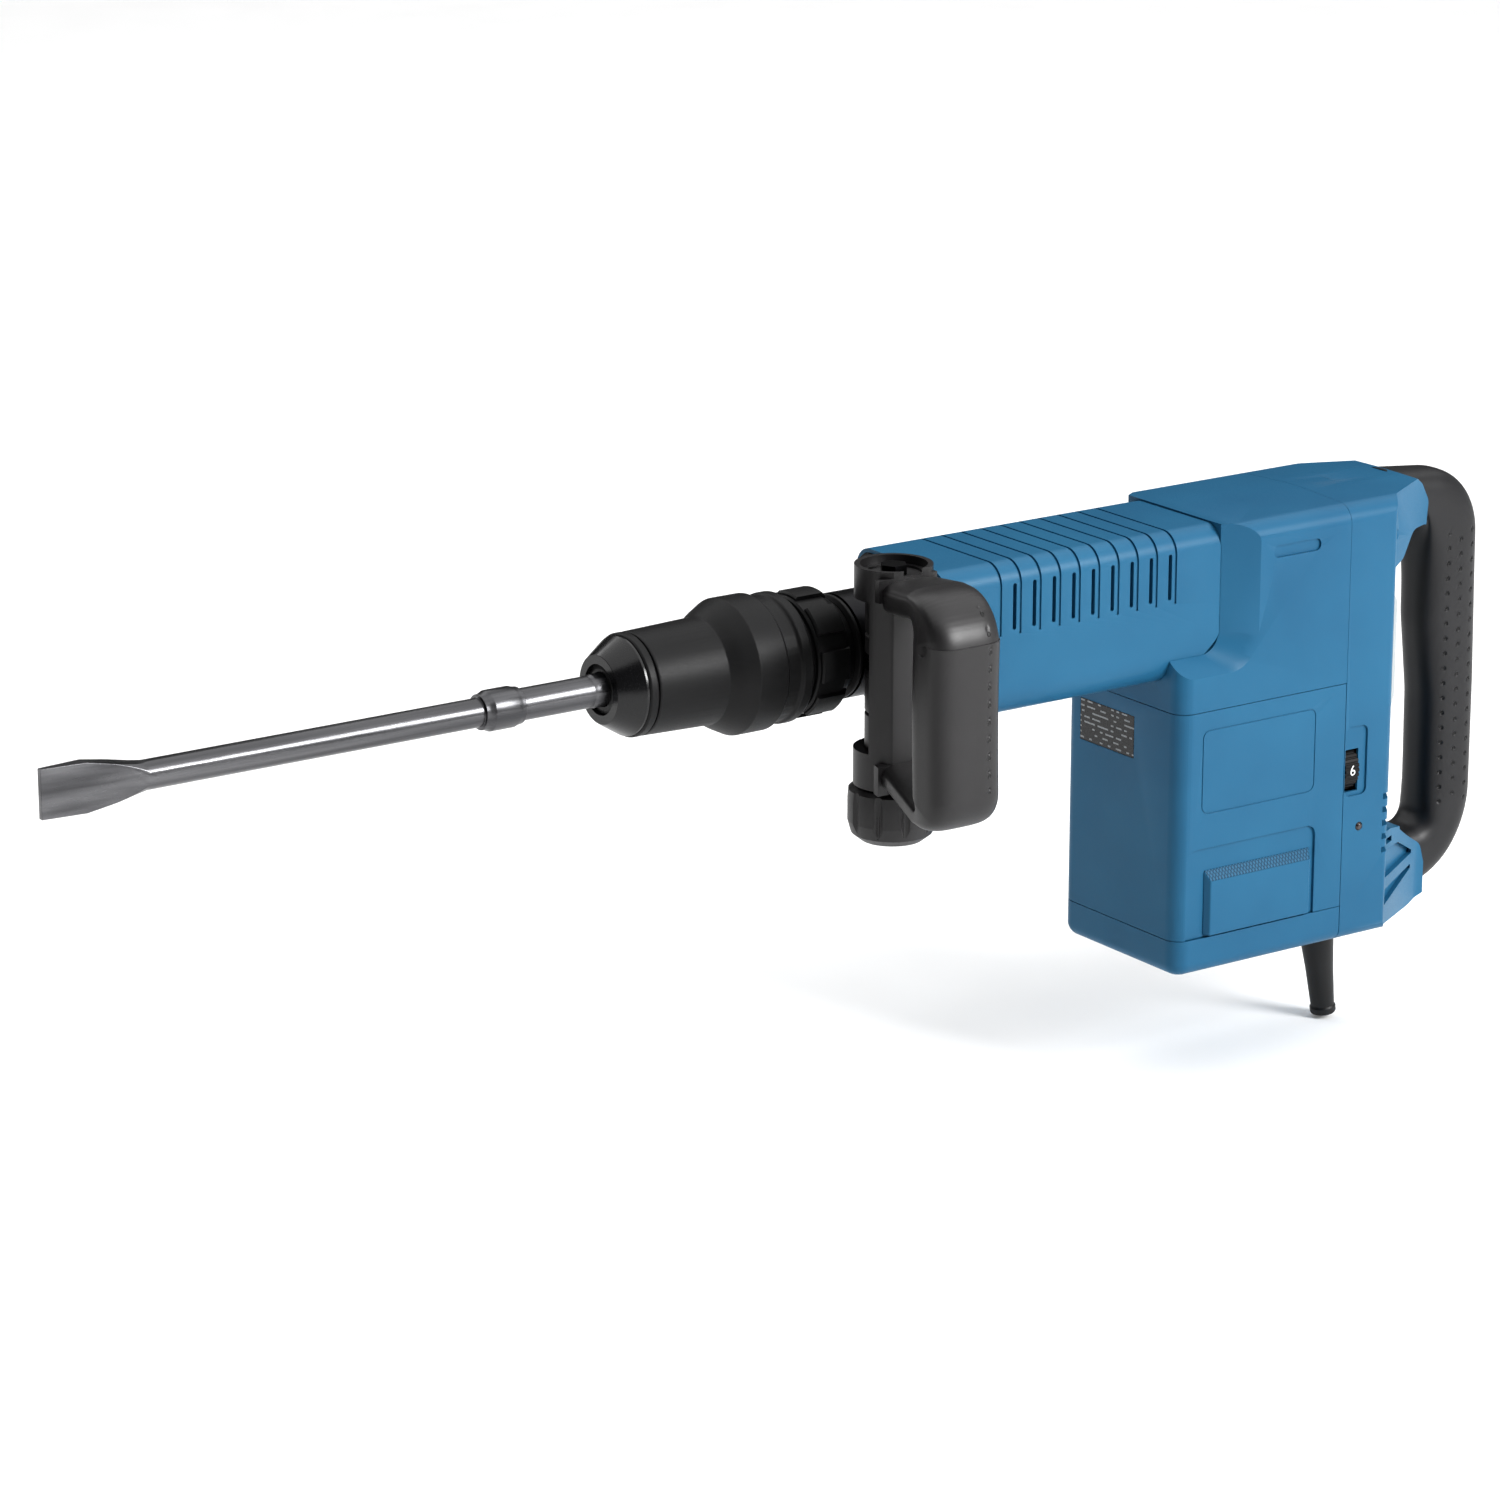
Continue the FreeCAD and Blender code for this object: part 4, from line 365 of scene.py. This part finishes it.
# %% Metal finishes
def ground_steel(name, stops, rough, along=0.02):
    """Steel with long grinding lines: both noises, the broad and the fine, are drawn out along X."""
    material = finish(name, stops, rough, 0.35, 0.02, metallic=1.0, stretch=(along, 1, 1), mottle_mm=9)
    material.node_tree.nodes["Principled BSDF"].inputs["Anisotropic"].default_value = 0.35
    return material


chisel_steel = ground_steel("forged_ground_steel", [(0.0, "#48484A"), (0.45, "#636365"), (1.0, "#7D7D7F")],
                            (0.26, 0.38))
turned_steel = finish("turned_steel", [(0.0, "#8B8C8E"), (1.0, "#A3A4A6")], (0.25, 0.38), 0.3, 0.015,
                      metallic=1.0)
plated_steel = finish("black_oxide_steel", [(0.0, "#1E1E20"), (1.0, "#2C2C2E")], (0.3, 0.42), 0.8, 0.02,
                      metallic=1.0)
cast_aluminium = finish("painted_cast_aluminium", [(0.0, "#2B2B2D"), (1.0, "#353537")], (0.42, 0.58), 0.9, 0.12,
                        metallic=1.0)
lamination = finish("oxidised_lamination", [(0.0, "#3A3A3C"), (1.0, "#4B4B4D")], (0.4, 0.55), 0.5, 0.08,
                    metallic=1.0, stretch=(0.05, 0.05, 1))
enamel_copper = finish("enamelled_copper_wire", [(0.0, "#8A4B25"), (1.0, "#A35E32")], (0.25, 0.35), 0.8, 0.15,
                       metallic=1.0, stretch=(0.2, 0.2, 1))
brass_sheet = finish("stamped_brass", [(0.0, "#A6873F"), (1.0, "#B9994C")], (0.28, 0.4), 0.8, 0.02,
                     metallic=1.0)
carbon_block = finish("pressed_carbon", [(0.0, "#151516"), (1.0, "#202022")], (0.45, 0.6), 0.4, 0.04, ior=1.6)
print("finishes in all:", len(bpy.data.materials))

# %% [markdown]
# ## A knurled strip
# The sloped top of each side panel has a fine crossed grid that a thumb can grip. Two sets of parallel lines,
# from x + y and from x - y, make the grid. Only faces that tilt upwards get it: their normal's Z is between a
# quarter and nearly one.

# %% Crossed grid
GRID_PITCH = 2.2
LINE_SHARE = 0.45
SLOPE_FROM, SLOPE_TO = 0.25, 0.97
panel_nylon = finish("knurled_blue_nylon", BLUE_STOPS, (0.34, 0.44), 0.55, 0.03, ior=1.53, mottle_mm=90,
                     Specular_IOR_Level=0.2)
panel_tree = panel_nylon.node_tree
panel_x, panel_y, _ = place_axes(panel_tree)
true_normal = add(panel_tree, "ShaderNodeNewGeometry").outputs["True Normal"]
tilt = add(panel_tree, "ShaderNodeSeparateXYZ", {"Vector": true_normal}).outputs["Z"]
on_slope = step_math(panel_tree, "MULTIPLY", step_math(panel_tree, "GREATER_THAN", tilt, SLOPE_FROM),
                     step_math(panel_tree, "LESS_THAN", tilt, SLOPE_TO))
waves = []
for blend_kind in ("ADD", "SUBTRACT"):
    diagonal = step_math(panel_tree, blend_kind, panel_x, panel_y)
    phase = step_math(panel_tree, "MULTIPLY", diagonal, math.pi / (GRID_PITCH * MM))
    waves.append(step_math(panel_tree, "ABSOLUTE", step_math(panel_tree, "SINE", phase)))
on_line = step_math(panel_tree, "LESS_THAN", step_math(panel_tree, "MINIMUM", *waves), LINE_SHARE)
# The grid's lines are painted darker blue: painted shade in the knurl's grooves.
darken(panel_nylon, step_math(panel_tree, "MULTIPLY", on_slope, on_line), "#033A54", 0.2)
print("grid pitch:", GRID_PITCH, "mm; finishes in all:", len(bpy.data.materials))

# %% [markdown]
# ## Dress every node of the frame
# Each CAD node has a material slot in its record. The table below says which finish stands for which slot,
# so no node is left in a bare grey, even one that only an exploded view would show. A few nodes then get a
# finish of their own.

# %% Finishes by record slot
SLOT_FINISH = {
    "tool_steel": chisel_steel, "steel": turned_steel, "aluminium": cast_aluminium, "laminations": lamination,
    "copper": enamel_copper, "brass": brass_sheet, "carbon": carbon_block, "blue_plastic": blue_nylon,
    "black_plastic": black_nylon, "gloss_black": cap_polymer, "rubber": grip_rubber,
    "grey_plastic": grey_nylon, "label": label_film, "lamp": lamp_lens, "red_board": potting,
    "beige": switch_case,
}
slot_of = {part["node"]: part["material_slot"] for part in frame["record"]["subparts"]}
for node_name, node_object in frame["nodes"].items():
    dress(node_object, SLOT_FINISH[slot_of[node_name]])
for node_name in ("clamp_band", "clamp_bolt", "casing_screws", "gearbox_screws"):
    dress(frame["nodes"][node_name], plated_steel)
dress(frame["nodes"]["shank_seal"], seal_rubber)
dress(frame["nodes"]["side_panels"], panel_nylon)
for node_name in ("clamp_knob", "clamp_bushes", "side_handle_frame"):
    dress(frame["nodes"][node_name], satin_nylon)
print("dressed nodes:", len(frame["nodes"]))

# %% [markdown]
# ## Round the casing's edges
# A moulded shell has no sharp edge: the mould's corners are radiused so that the plastic flows. The packed
# shells have their large roundings already, so the small ones are added here, on a welded copy, with a bevel
# that only touches edges sharper than a set angle.

# %% Softened shells
# Node: (radius in mm, least angle in degrees). Turned parts need a small angle, or their bands would blur.
SOFT_EDGES = {
    "barrel_shell": (0.5, 32), "upper_housing": (0.9, 32), "motor_housing": (0.7, 32), "base_cover": (0.8, 32),
    "rear_shell": (1.0, 32), "side_panels": (0.7, 25), "front_collar": (0.6, 32), "switch_paddle": (1.2, 32),
    "locking_sleeve": (0.8, 14), "holder_cover": (0.8, 14), "angle_ring": (0.7, 14), "dust_cap": (0.5, 14),
    "cap_ring": (0.4, 14), "clamp_knob": (1.4, 14), "speed_dial": (0.4, 20), "neck_ring": (0.4, 14),
    "clamp_bushes": (0.6, 14), "cable_boot": (0.4, 14),
}
body_of_node = {n: b for b, members in frame["record"]["behaviour"]["bodies"].items() for n in members}
for node_name, (radius, least_angle) in SOFT_EDGES.items():
    softened = soften(node_name, radius, least_angle)
    dress(softened, frame["nodes"][node_name].data.materials[0])
    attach(softened, body_of_node[node_name])
    print("softened", node_name, len(softened.data.polygons))

# %% [markdown]
# ## The springs
# Two springs are pressed when a part moves: one by the locking sleeve, one by the switch paddle. Each coil
# is a welded, smooth-shaded copy in turned steel that rides on the body of its node. Its shape stays as
# packed.

# %% Coils
COIL_SMOOTH_ANGLE = 50


def coil(node):
    """A welded, smooth-shaded copy of a spring in turned steel that rides on the node's body in place of the
    node.
    """
    piece = merged_copy(node + "_coil", node)
    smooth(piece, COIL_SMOOTH_ANGLE)
    dress(piece, turned_steel)
    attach(piece, body_of_node[node])
    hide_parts(node)
    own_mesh(piece)


coil("sleeve_spring")
coil("switch_spring")

# %% [markdown]
# ## The chisel
# The bar is forged, and the blade's two flats are then ground. Where a flat plane leaves a round bar the
# edge is a curve that stays crisp, so this copy gets a radius of only a third of a millimetre.

# %% Chisel with fine edges
CHISEL_EDGE_MM, CHISEL_LEAST_ANGLE = 0.35, 24
chisel_piece = soften("chisel", CHISEL_EDGE_MM, angle=CHISEL_LEAST_ANGLE, segments=2)
dress(chisel_piece, chisel_steel)
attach(chisel_piece, "chisel")
print("chisel faces:", len(chisel_piece.data.polygons))

# %% [markdown]
# ## The rear grip
# The loop handle is overmoulded: rubber flows round a nylon spine and stops at a seam on each arm. Its
# section is a rounded oblong that a hand can close round. The surface is a loft between an inner and an
# outer outline, and rows of shallow dimples are pressed into its sides by moving points inwards where the
# distance to the nearest dimple is small.


# %% Loop grip
ARC_POINTS = 24


def rounded_path(corners, count):
    """Points evenly along a polyline whose corners (x, z, r) are rounded by arcs of radius r."""
    pieces = []
    last = len(corners) - 1
    for k, (x, z, r) in enumerate(corners):
        here = np.array([x, z], float)
        if k in (0, last) or r == 0:
            pieces.append(here[None])
            continue
        back = np.array(corners[k - 1][:2]) - here
        ahead = np.array(corners[k + 1][:2]) - here
        back, ahead = back / np.linalg.norm(back), ahead / np.linalg.norm(ahead)
        half = math.acos(np.clip(back @ ahead, -1, 1)) / 2
        centre = here + (back + ahead) / np.linalg.norm(back + ahead) * r / math.sin(half)
        start, stop = here + back * r / math.tan(half), here + ahead * r / math.tan(half)
        t = np.linspace(0, 1, ARC_POINTS)[:, None]
        chord = (1 - t) * start + t * stop - centre
        pieces.append(centre + chord / np.linalg.norm(chord, axis=1)[:, None] * r)
    line = np.concatenate(pieces)
    steps = np.concatenate([[0], np.cumsum(np.linalg.norm(np.diff(line, axis=0), axis=1))])
    at = np.linspace(0, steps[-1], count)
    return np.stack([np.interp(at, steps, line[:, 0]), np.interp(at, steps, line[:, 1])], axis=1)


grip_low, grip_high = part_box("rear_grip")
GRIP_X = grip_high.x / MM
GRIP_TOP = grip_high.z / MM
GRIP_FLOOR = grip_low.z / MM
GRIP_HALF = grip_high.y / MM
PATH_POINTS = 420
outer_path = rounded_path([(533, GRIP_TOP, 0), (GRIP_X - 2, GRIP_TOP - 6.5, 38), (GRIP_X, -90, 400),
                           (GRIP_X, GRIP_FLOOR, 58), (562.5, GRIP_FLOOR, 0)], PATH_POINTS)
inner_path = rounded_path([(554, 14, 0), (561, 12, 6), (561.5, -50, 60), (567, -95, 80), (568, -172, 10),
                           (552, -172.5, 10), (531, -163, 0)], PATH_POINTS)
ROUND = 168
turn = np.linspace(0, 2 * np.pi, ROUND, endpoint=False)
GRIP_PULL = 2 / 2.9  # a superellipse of power 2.9: between an ellipse and a rounded oblong
across = np.sign(np.cos(turn)) * np.abs(np.cos(turn)) ** GRIP_PULL
side = np.sign(np.sin(turn)) * np.abs(np.sin(turn)) ** GRIP_PULL
centre = (outer_path + inner_path) / 2
reach = (outer_path - inner_path) / 2
skin = np.zeros((len(centre), ROUND, 3))
skin[:, :, 0] = centre[:, None, 0] + reach[:, None, 0] * across
skin[:, :, 2] = centre[:, None, 1] + reach[:, None, 1] * across
skin[:, :, 1] = GRIP_HALF * side
print("grip loft:", skin.shape)

# %% [markdown]
# The dimples sit in staggered rows along the upright. Each is a round hollow 3 mm across and 0.9 mm deep,
# worked out for all points at once from their distance to the row's nearest centre. The finish darkens the
# same dots with painted shade for the hollows.

# %% Dimples
DIMPLE_PITCH = 9.0
DIMPLE_R = 1.5
DIMPLE_DEPTH = 0.9
DIMPLE_ROWS = ((574.5, 0.0), (583.5, 0.5), (593.0, 0.0))
UPRIGHT_Z = (-158.0, 4.0)
SIDE_FROM_Y = 6.0


def press_dimples(points, rows, z_span):
    """Moves points toward Y = 0 by depth * (1 - (d / r)^2)^2 within each dimple's radius, on the sides only."""
    x, y, z = points[..., 0], points[..., 1], points[..., 2]
    pressed = np.zeros_like(x)
    for row_x, stagger in rows:
        step = np.round((z - z_span[0]) / DIMPLE_PITCH - stagger) + stagger
        near_z = z_span[0] + step * DIMPLE_PITCH
        inside = (near_z >= z_span[0]) & (near_z <= z_span[1])
        far = np.hypot(x - row_x, z - near_z) / DIMPLE_R
        pressed = np.maximum(pressed, np.where(inside & (far < 1), (1 - far ** 2) ** 2, 0))
    points[..., 1] = y - np.sign(y) * pressed * DIMPLE_DEPTH * (np.abs(y) > SIDE_FROM_Y)
    return int((pressed > 0).sum())


moved = press_dimples(skin, DIMPLE_ROWS, UPRIGHT_Z)
loop_grip = grid_mesh("rear_grip_skin", skin * MM)
dimpled_rubber = finish("dimpled_grip_rubber", [(0.0, "#18181A"), (1.0, "#1F1F21")], (0.4, 0.5), 0.45, 0.035,
                        ior=1.45)
# The dark dots are painted shade, standing for the shade inside the dimples' hollows.
dimple_shade_mask = dot_rows(dimpled_rubber.node_tree, DIMPLE_ROWS, DIMPLE_PITCH, DIMPLE_R, UPRIGHT_Z)
darken(dimpled_rubber, dimple_shade_mask, "#060607", 0.4)
dress(loop_grip, dimpled_rubber)
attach(loop_grip, "housing")
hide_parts("rear_grip")
print("points moved for dimples:", moved)

# %% [markdown]
# ## The side handle
# The second handle is a D. A hub turns on the clamp, and one moulding leaves it at the top, rounds the
# corner, runs down as the bar and comes back under the hub. That is a sweep: a path in the upright plane,
# with a section whose width and thickness change along the way. The section is a superellipse, and it is
# carried by the path's own tangent and normal.

# %% Sweep of the D
bar_low, bar_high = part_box("side_grip")
hub_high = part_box("side_handle_frame")[1]
BAR_X = (bar_low.x + bar_high.x) / 2 / MM
BAR_Y = (bar_low.y + bar_high.y) / 2 / MM
BAR_HALF_X = (bar_high.x - bar_low.x) / 2 / MM
BAR_HALF_Y = (bar_high.y - bar_low.y) / 2 / MM
BAR_TOP, BAR_FLOOR = bar_high.z / MM, bar_low.z / MM
HUB_R = 21.0
HUB_X = hub_high.x / MM - HUB_R
HUB_Y = -45.0
HUB_HALF = 19.0
HUB_END = HUB_Y - 17.0
ARM_HALF, FOOT_HALF = 8.5, 6.0
D_POINTS = 360
THICKEN_POWER = 1.5  # how soon an arm thickens into the bar as the path turns upright
d_path = rounded_path([(HUB_END + 1, BAR_TOP - 22, 0), (BAR_Y - 2, BAR_TOP - 13, 20), (BAR_Y, 0, 900),
                       (BAR_Y - 2, BAR_FLOOR + 9, 12), (HUB_END + 1, BAR_FLOOR + 19, 0)], D_POINTS)
along = np.gradient(d_path, axis=0)
along /= np.linalg.norm(along, axis=1)[:, None]
normal = np.stack([along[:, 1], -along[:, 0]], axis=1)
upright = np.abs(along[:, 1]) ** THICKEN_POWER
on_top = d_path[:, 1] > 0
thick = np.where(on_top, ARM_HALF, FOOT_HALF)
half_thick = thick + (BAR_HALF_Y - thick) * upright
outward = np.clip((d_path[:, 0] - HUB_END) / (BAR_Y - HUB_END), 0, 1)
half_wide = HUB_HALF + (BAR_HALF_X - HUB_HALF) * outward
centre_x = HUB_X + (BAR_X - HUB_X) * outward
BAR_PULL = 2 / 3.6
section_x = np.sign(np.cos(turn)) * np.abs(np.cos(turn)) ** BAR_PULL
section_n = np.sign(np.sin(turn)) * np.abs(np.sin(turn)) ** BAR_PULL
sweep_d = np.zeros((len(d_path), ROUND, 3))
sweep_d[:, :, 0] = centre_x[:, None] + half_wide[:, None] * section_x
sweep_d[:, :, 1] = d_path[:, None, 0] + normal[:, None, 0] * half_thick[:, None] * section_n
sweep_d[:, :, 2] = d_path[:, None, 1] + normal[:, None, 1] * half_thick[:, None] * section_n
print("D sweep:", sweep_d.shape, "arms", ARM_HALF * 2, "mm thick, bar", round(BAR_HALF_Y * 2, 1))

# %% [markdown]
# A row of small dimples runs down the bar's face near one edge. They are pressed towards positive Y, which is
# into the face. The finish has dots of the same size, counted from the row's lower end where the pressed ones
# are counted from z = 0, so each dark dot lies a few millimetres from its hollow. The CAD frame's box arms
# would poke through the sweep, so the softened hub is a copy cut off where the arms begin and closed again.

# %% Dots on the bar
DOT_X = BAR_X + BAR_HALF_X - 11.0
DOT_PITCH, DOT_R, DOT_DEPTH = 9.5, 1.3, 0.8
DOTS_HALF_Z = 50.0
dx = sweep_d[:, :, 0] - DOT_X
dz = sweep_d[:, :, 2] - np.round(sweep_d[:, :, 2] / DOT_PITCH) * DOT_PITCH
far = np.hypot(dx, dz) / DOT_R
front = (sweep_d[:, :, 1] < BAR_Y) & (np.abs(sweep_d[:, :, 2]) < DOTS_HALF_Z)
sweep_d[:, :, 1] += np.where(front & (far < 1), DOT_DEPTH * (1 - far ** 2) ** 2, 0)
side_bar = grid_mesh("side_handle_moulding", sweep_d * MM)
dotted_nylon = finish("dotted_black_nylon", [(0.0, "#1E1D1E"), (1.0, "#262526")], (0.36, 0.46), 0.5, 0.03,
                      ior=1.5)
# The dark dots are painted shade, standing for the shade inside the bar's dimples.
dot_shade_mask = dot_rows(dotted_nylon.node_tree, ((DOT_X, 0.0),), DOT_PITCH, DOT_R, (-DOTS_HALF_Z, DOTS_HALF_Z))
darken(dotted_nylon, dot_shade_mask, "#040404", 0.5)
dress(side_bar, dotted_nylon)
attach(side_bar, "side_handle")
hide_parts("side_grip")
HUB_EDGE_MM = 0.9
hub = soften("side_handle_frame", HUB_EDGE_MM)
work = bmesh.new()
work.from_mesh(hub.data)
whole = work.verts[:] + work.edges[:] + work.faces[:]
bmesh.ops.bisect_plane(work, geom=whole, plane_co=(0, HUB_END * MM, 0), plane_no=(0, -1, 0), clear_outer=True)
bmesh.ops.holes_fill(work, edges=[e for e in work.edges if e.is_boundary])
work.to_mesh(hub.data)
work.free()
dress(hub, satin_nylon)
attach(hub, "side_handle")
print("side bar spans z", round(BAR_FLOOR), "to", round(BAR_TOP))

# %% [markdown]
# ## The number on the speed dial
# The thumbwheel shows one number through its slot. Pad printing lays ink a few hundredths of a millimetre
# thick, so the figure is a flat mesh wrapped on the wheel's rim: each point keeps its height and is moved
# out to the rim's radius.

# %% Printed figure
dial_low, dial_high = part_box("speed_dial")
dial_x = (dial_low.x + dial_high.x) / 2
dial_y = (dial_low.y + dial_high.y) / 2
dial_z = (dial_low.z + dial_high.z) / 2
dial_r = (dial_high.y - dial_low.y) / 2
FIGURE_SIZE_MM = 8.5
figure = bpy.data.curves.new("dial_figure", "FONT")
figure.body = "6"
figure.size = FIGURE_SIZE_MM * MM
figure.align_x = "CENTER"
figure.align_y = "CENTER"
figure_object = bpy.data.objects.new("dial_figure_curve", figure)
bpy.context.scene.collection.objects.link(figure_object)
bpy.context.view_layer.update()
shape = bpy.data.meshes.new_from_object(figure_object)
bpy.data.objects.remove(figure_object)
flat = np.zeros(len(shape.vertices) * 3)
shape.vertices.foreach_get("co", flat)
flat = flat.reshape(-1, 3)
INK_MM = 0.06
RIM = dial_r + INK_MM * MM
rim_y = dial_y - np.sqrt(RIM ** 2 - flat[:, 1] ** 2)
wrapped = np.stack([dial_x + flat[:, 0], rim_y, dial_z + flat[:, 1]], axis=1)
shape.vertices.foreach_set("co", wrapped.ravel())
shape.update()
dial_figure = bpy.data.objects.new("dial_figure", shape)
bpy.context.scene.collection.objects.link(dial_figure)
dress(dial_figure, dial_print)
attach(dial_figure, "speed_dial")
print("figure points:", len(wrapped))

# %% [markdown]
# ## Studio
# A pale floor, a world that is brighter towards the window side and three soft lamps give the long highlights
# that show a moulded edge. The other side stays dim, so the casing's front face reads darker than its flank.
# The camera looks from the chisel's side, a little above, with a long lens.

# %% Floor
low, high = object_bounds()
FLOOR_DROP = 0.002
floor_z = low.z - FLOOR_DROP
FLOOR_REACH = 9.0
FLOOR_POINTS = 60
u = np.linspace(-FLOOR_REACH, FLOOR_REACH, FLOOR_POINTS)
gx, gy = np.meshgrid(u, u, indexing="ij")
floor_points = np.stack([gx, gy, np.full_like(gx, floor_z)], axis=-1)
floor = grid_mesh("studio_floor", floor_points[:, ::-1], wrap=False)
paper = finish("matt_studio_paper", [(0.0, "#F2F2F2"), (1.0, "#F6F6F6")], (0.7, 0.8), 4.0, 0.02, ior=1.4,
               Emission_Color=(1, 1, 1, 1), Emission_Strength=0.1)
dress(floor, paper)
print("floor at z =", round(floor_z, 4), "m")

# %% World and lamps
world = bpy.data.worlds.new("studio")
bpy.context.scene.world = world
world.use_nodes = True
sky = world.node_tree.nodes["Background"]
sky.inputs["Color"].default_value = (1, 1, 1, 1)
heading = add(world.node_tree, "ShaderNodeSeparateXYZ",
              {"Vector": add(world.node_tree, "ShaderNodeTexCoord").outputs["Generated"]})
WINDOW_SHARE = 0.7  # of X and of minus Y: the window stands half way between them
DIM, BRIGHT = 0.04, 0.5
east = step_math(world.node_tree, "MULTIPLY", heading.outputs["X"], WINDOW_SHARE)
north = step_math(world.node_tree, "MULTIPLY", heading.outputs["Y"], WINDOW_SHARE)
to_window = step_math(world.node_tree, "SUBTRACT", east, north)
world.node_tree.links.new(span(world.node_tree, to_window, DIM, BRIGHT, 0.0, 0.9), sky.inputs["Strength"])
middle = (Vector(cad_bounds[0]) + Vector(cad_bounds[1])) / 2


def lamp(name, place, size, power):
    """A soft square lamp that looks at the object's middle."""
    light = bpy.data.lights.new(name, "AREA")
    light.size = size
    light.energy = power
    holder = bpy.data.objects.new(name, light)
    holder.location = place
    holder.rotation_euler = (middle - Vector(place)).to_track_quat("-Z", "Y").to_euler()
    bpy.context.scene.collection.objects.link(holder)
    return holder


lamp("key", (1.6, -2.6, 1.5), 1.2, 100)
lamp("overhead", (0.9, 0.8, 6.0), 12.0, 580)
lamp("rim", (-0.6, 2.4, 1.2), 1.2, 10)
print("lamps:", len(bpy.data.lights))

# %% Camera
AZIMUTH = -34.71
ELEVATION = 16.61
EYE = (-1.49056, -2.29035, 0.78212)
LENS_MM = 130.9
camera = bpy.data.cameras.new("camera")
camera.sensor_width = 36.0
camera.lens = LENS_MM
camera.clip_end = 50
eye = bpy.data.objects.new("camera", camera)
eye.location = EYE
eye.rotation_euler = (math.radians(90 - ELEVATION), 0, math.radians(AZIMUTH))
bpy.context.scene.collection.objects.link(eye)
bpy.context.scene.camera = eye
bpy.context.scene.view_settings.view_transform = "Standard"
bpy.context.scene.view_settings.look = "Medium High Contrast"
print("lens:", round(camera.lens, 1), "mm")
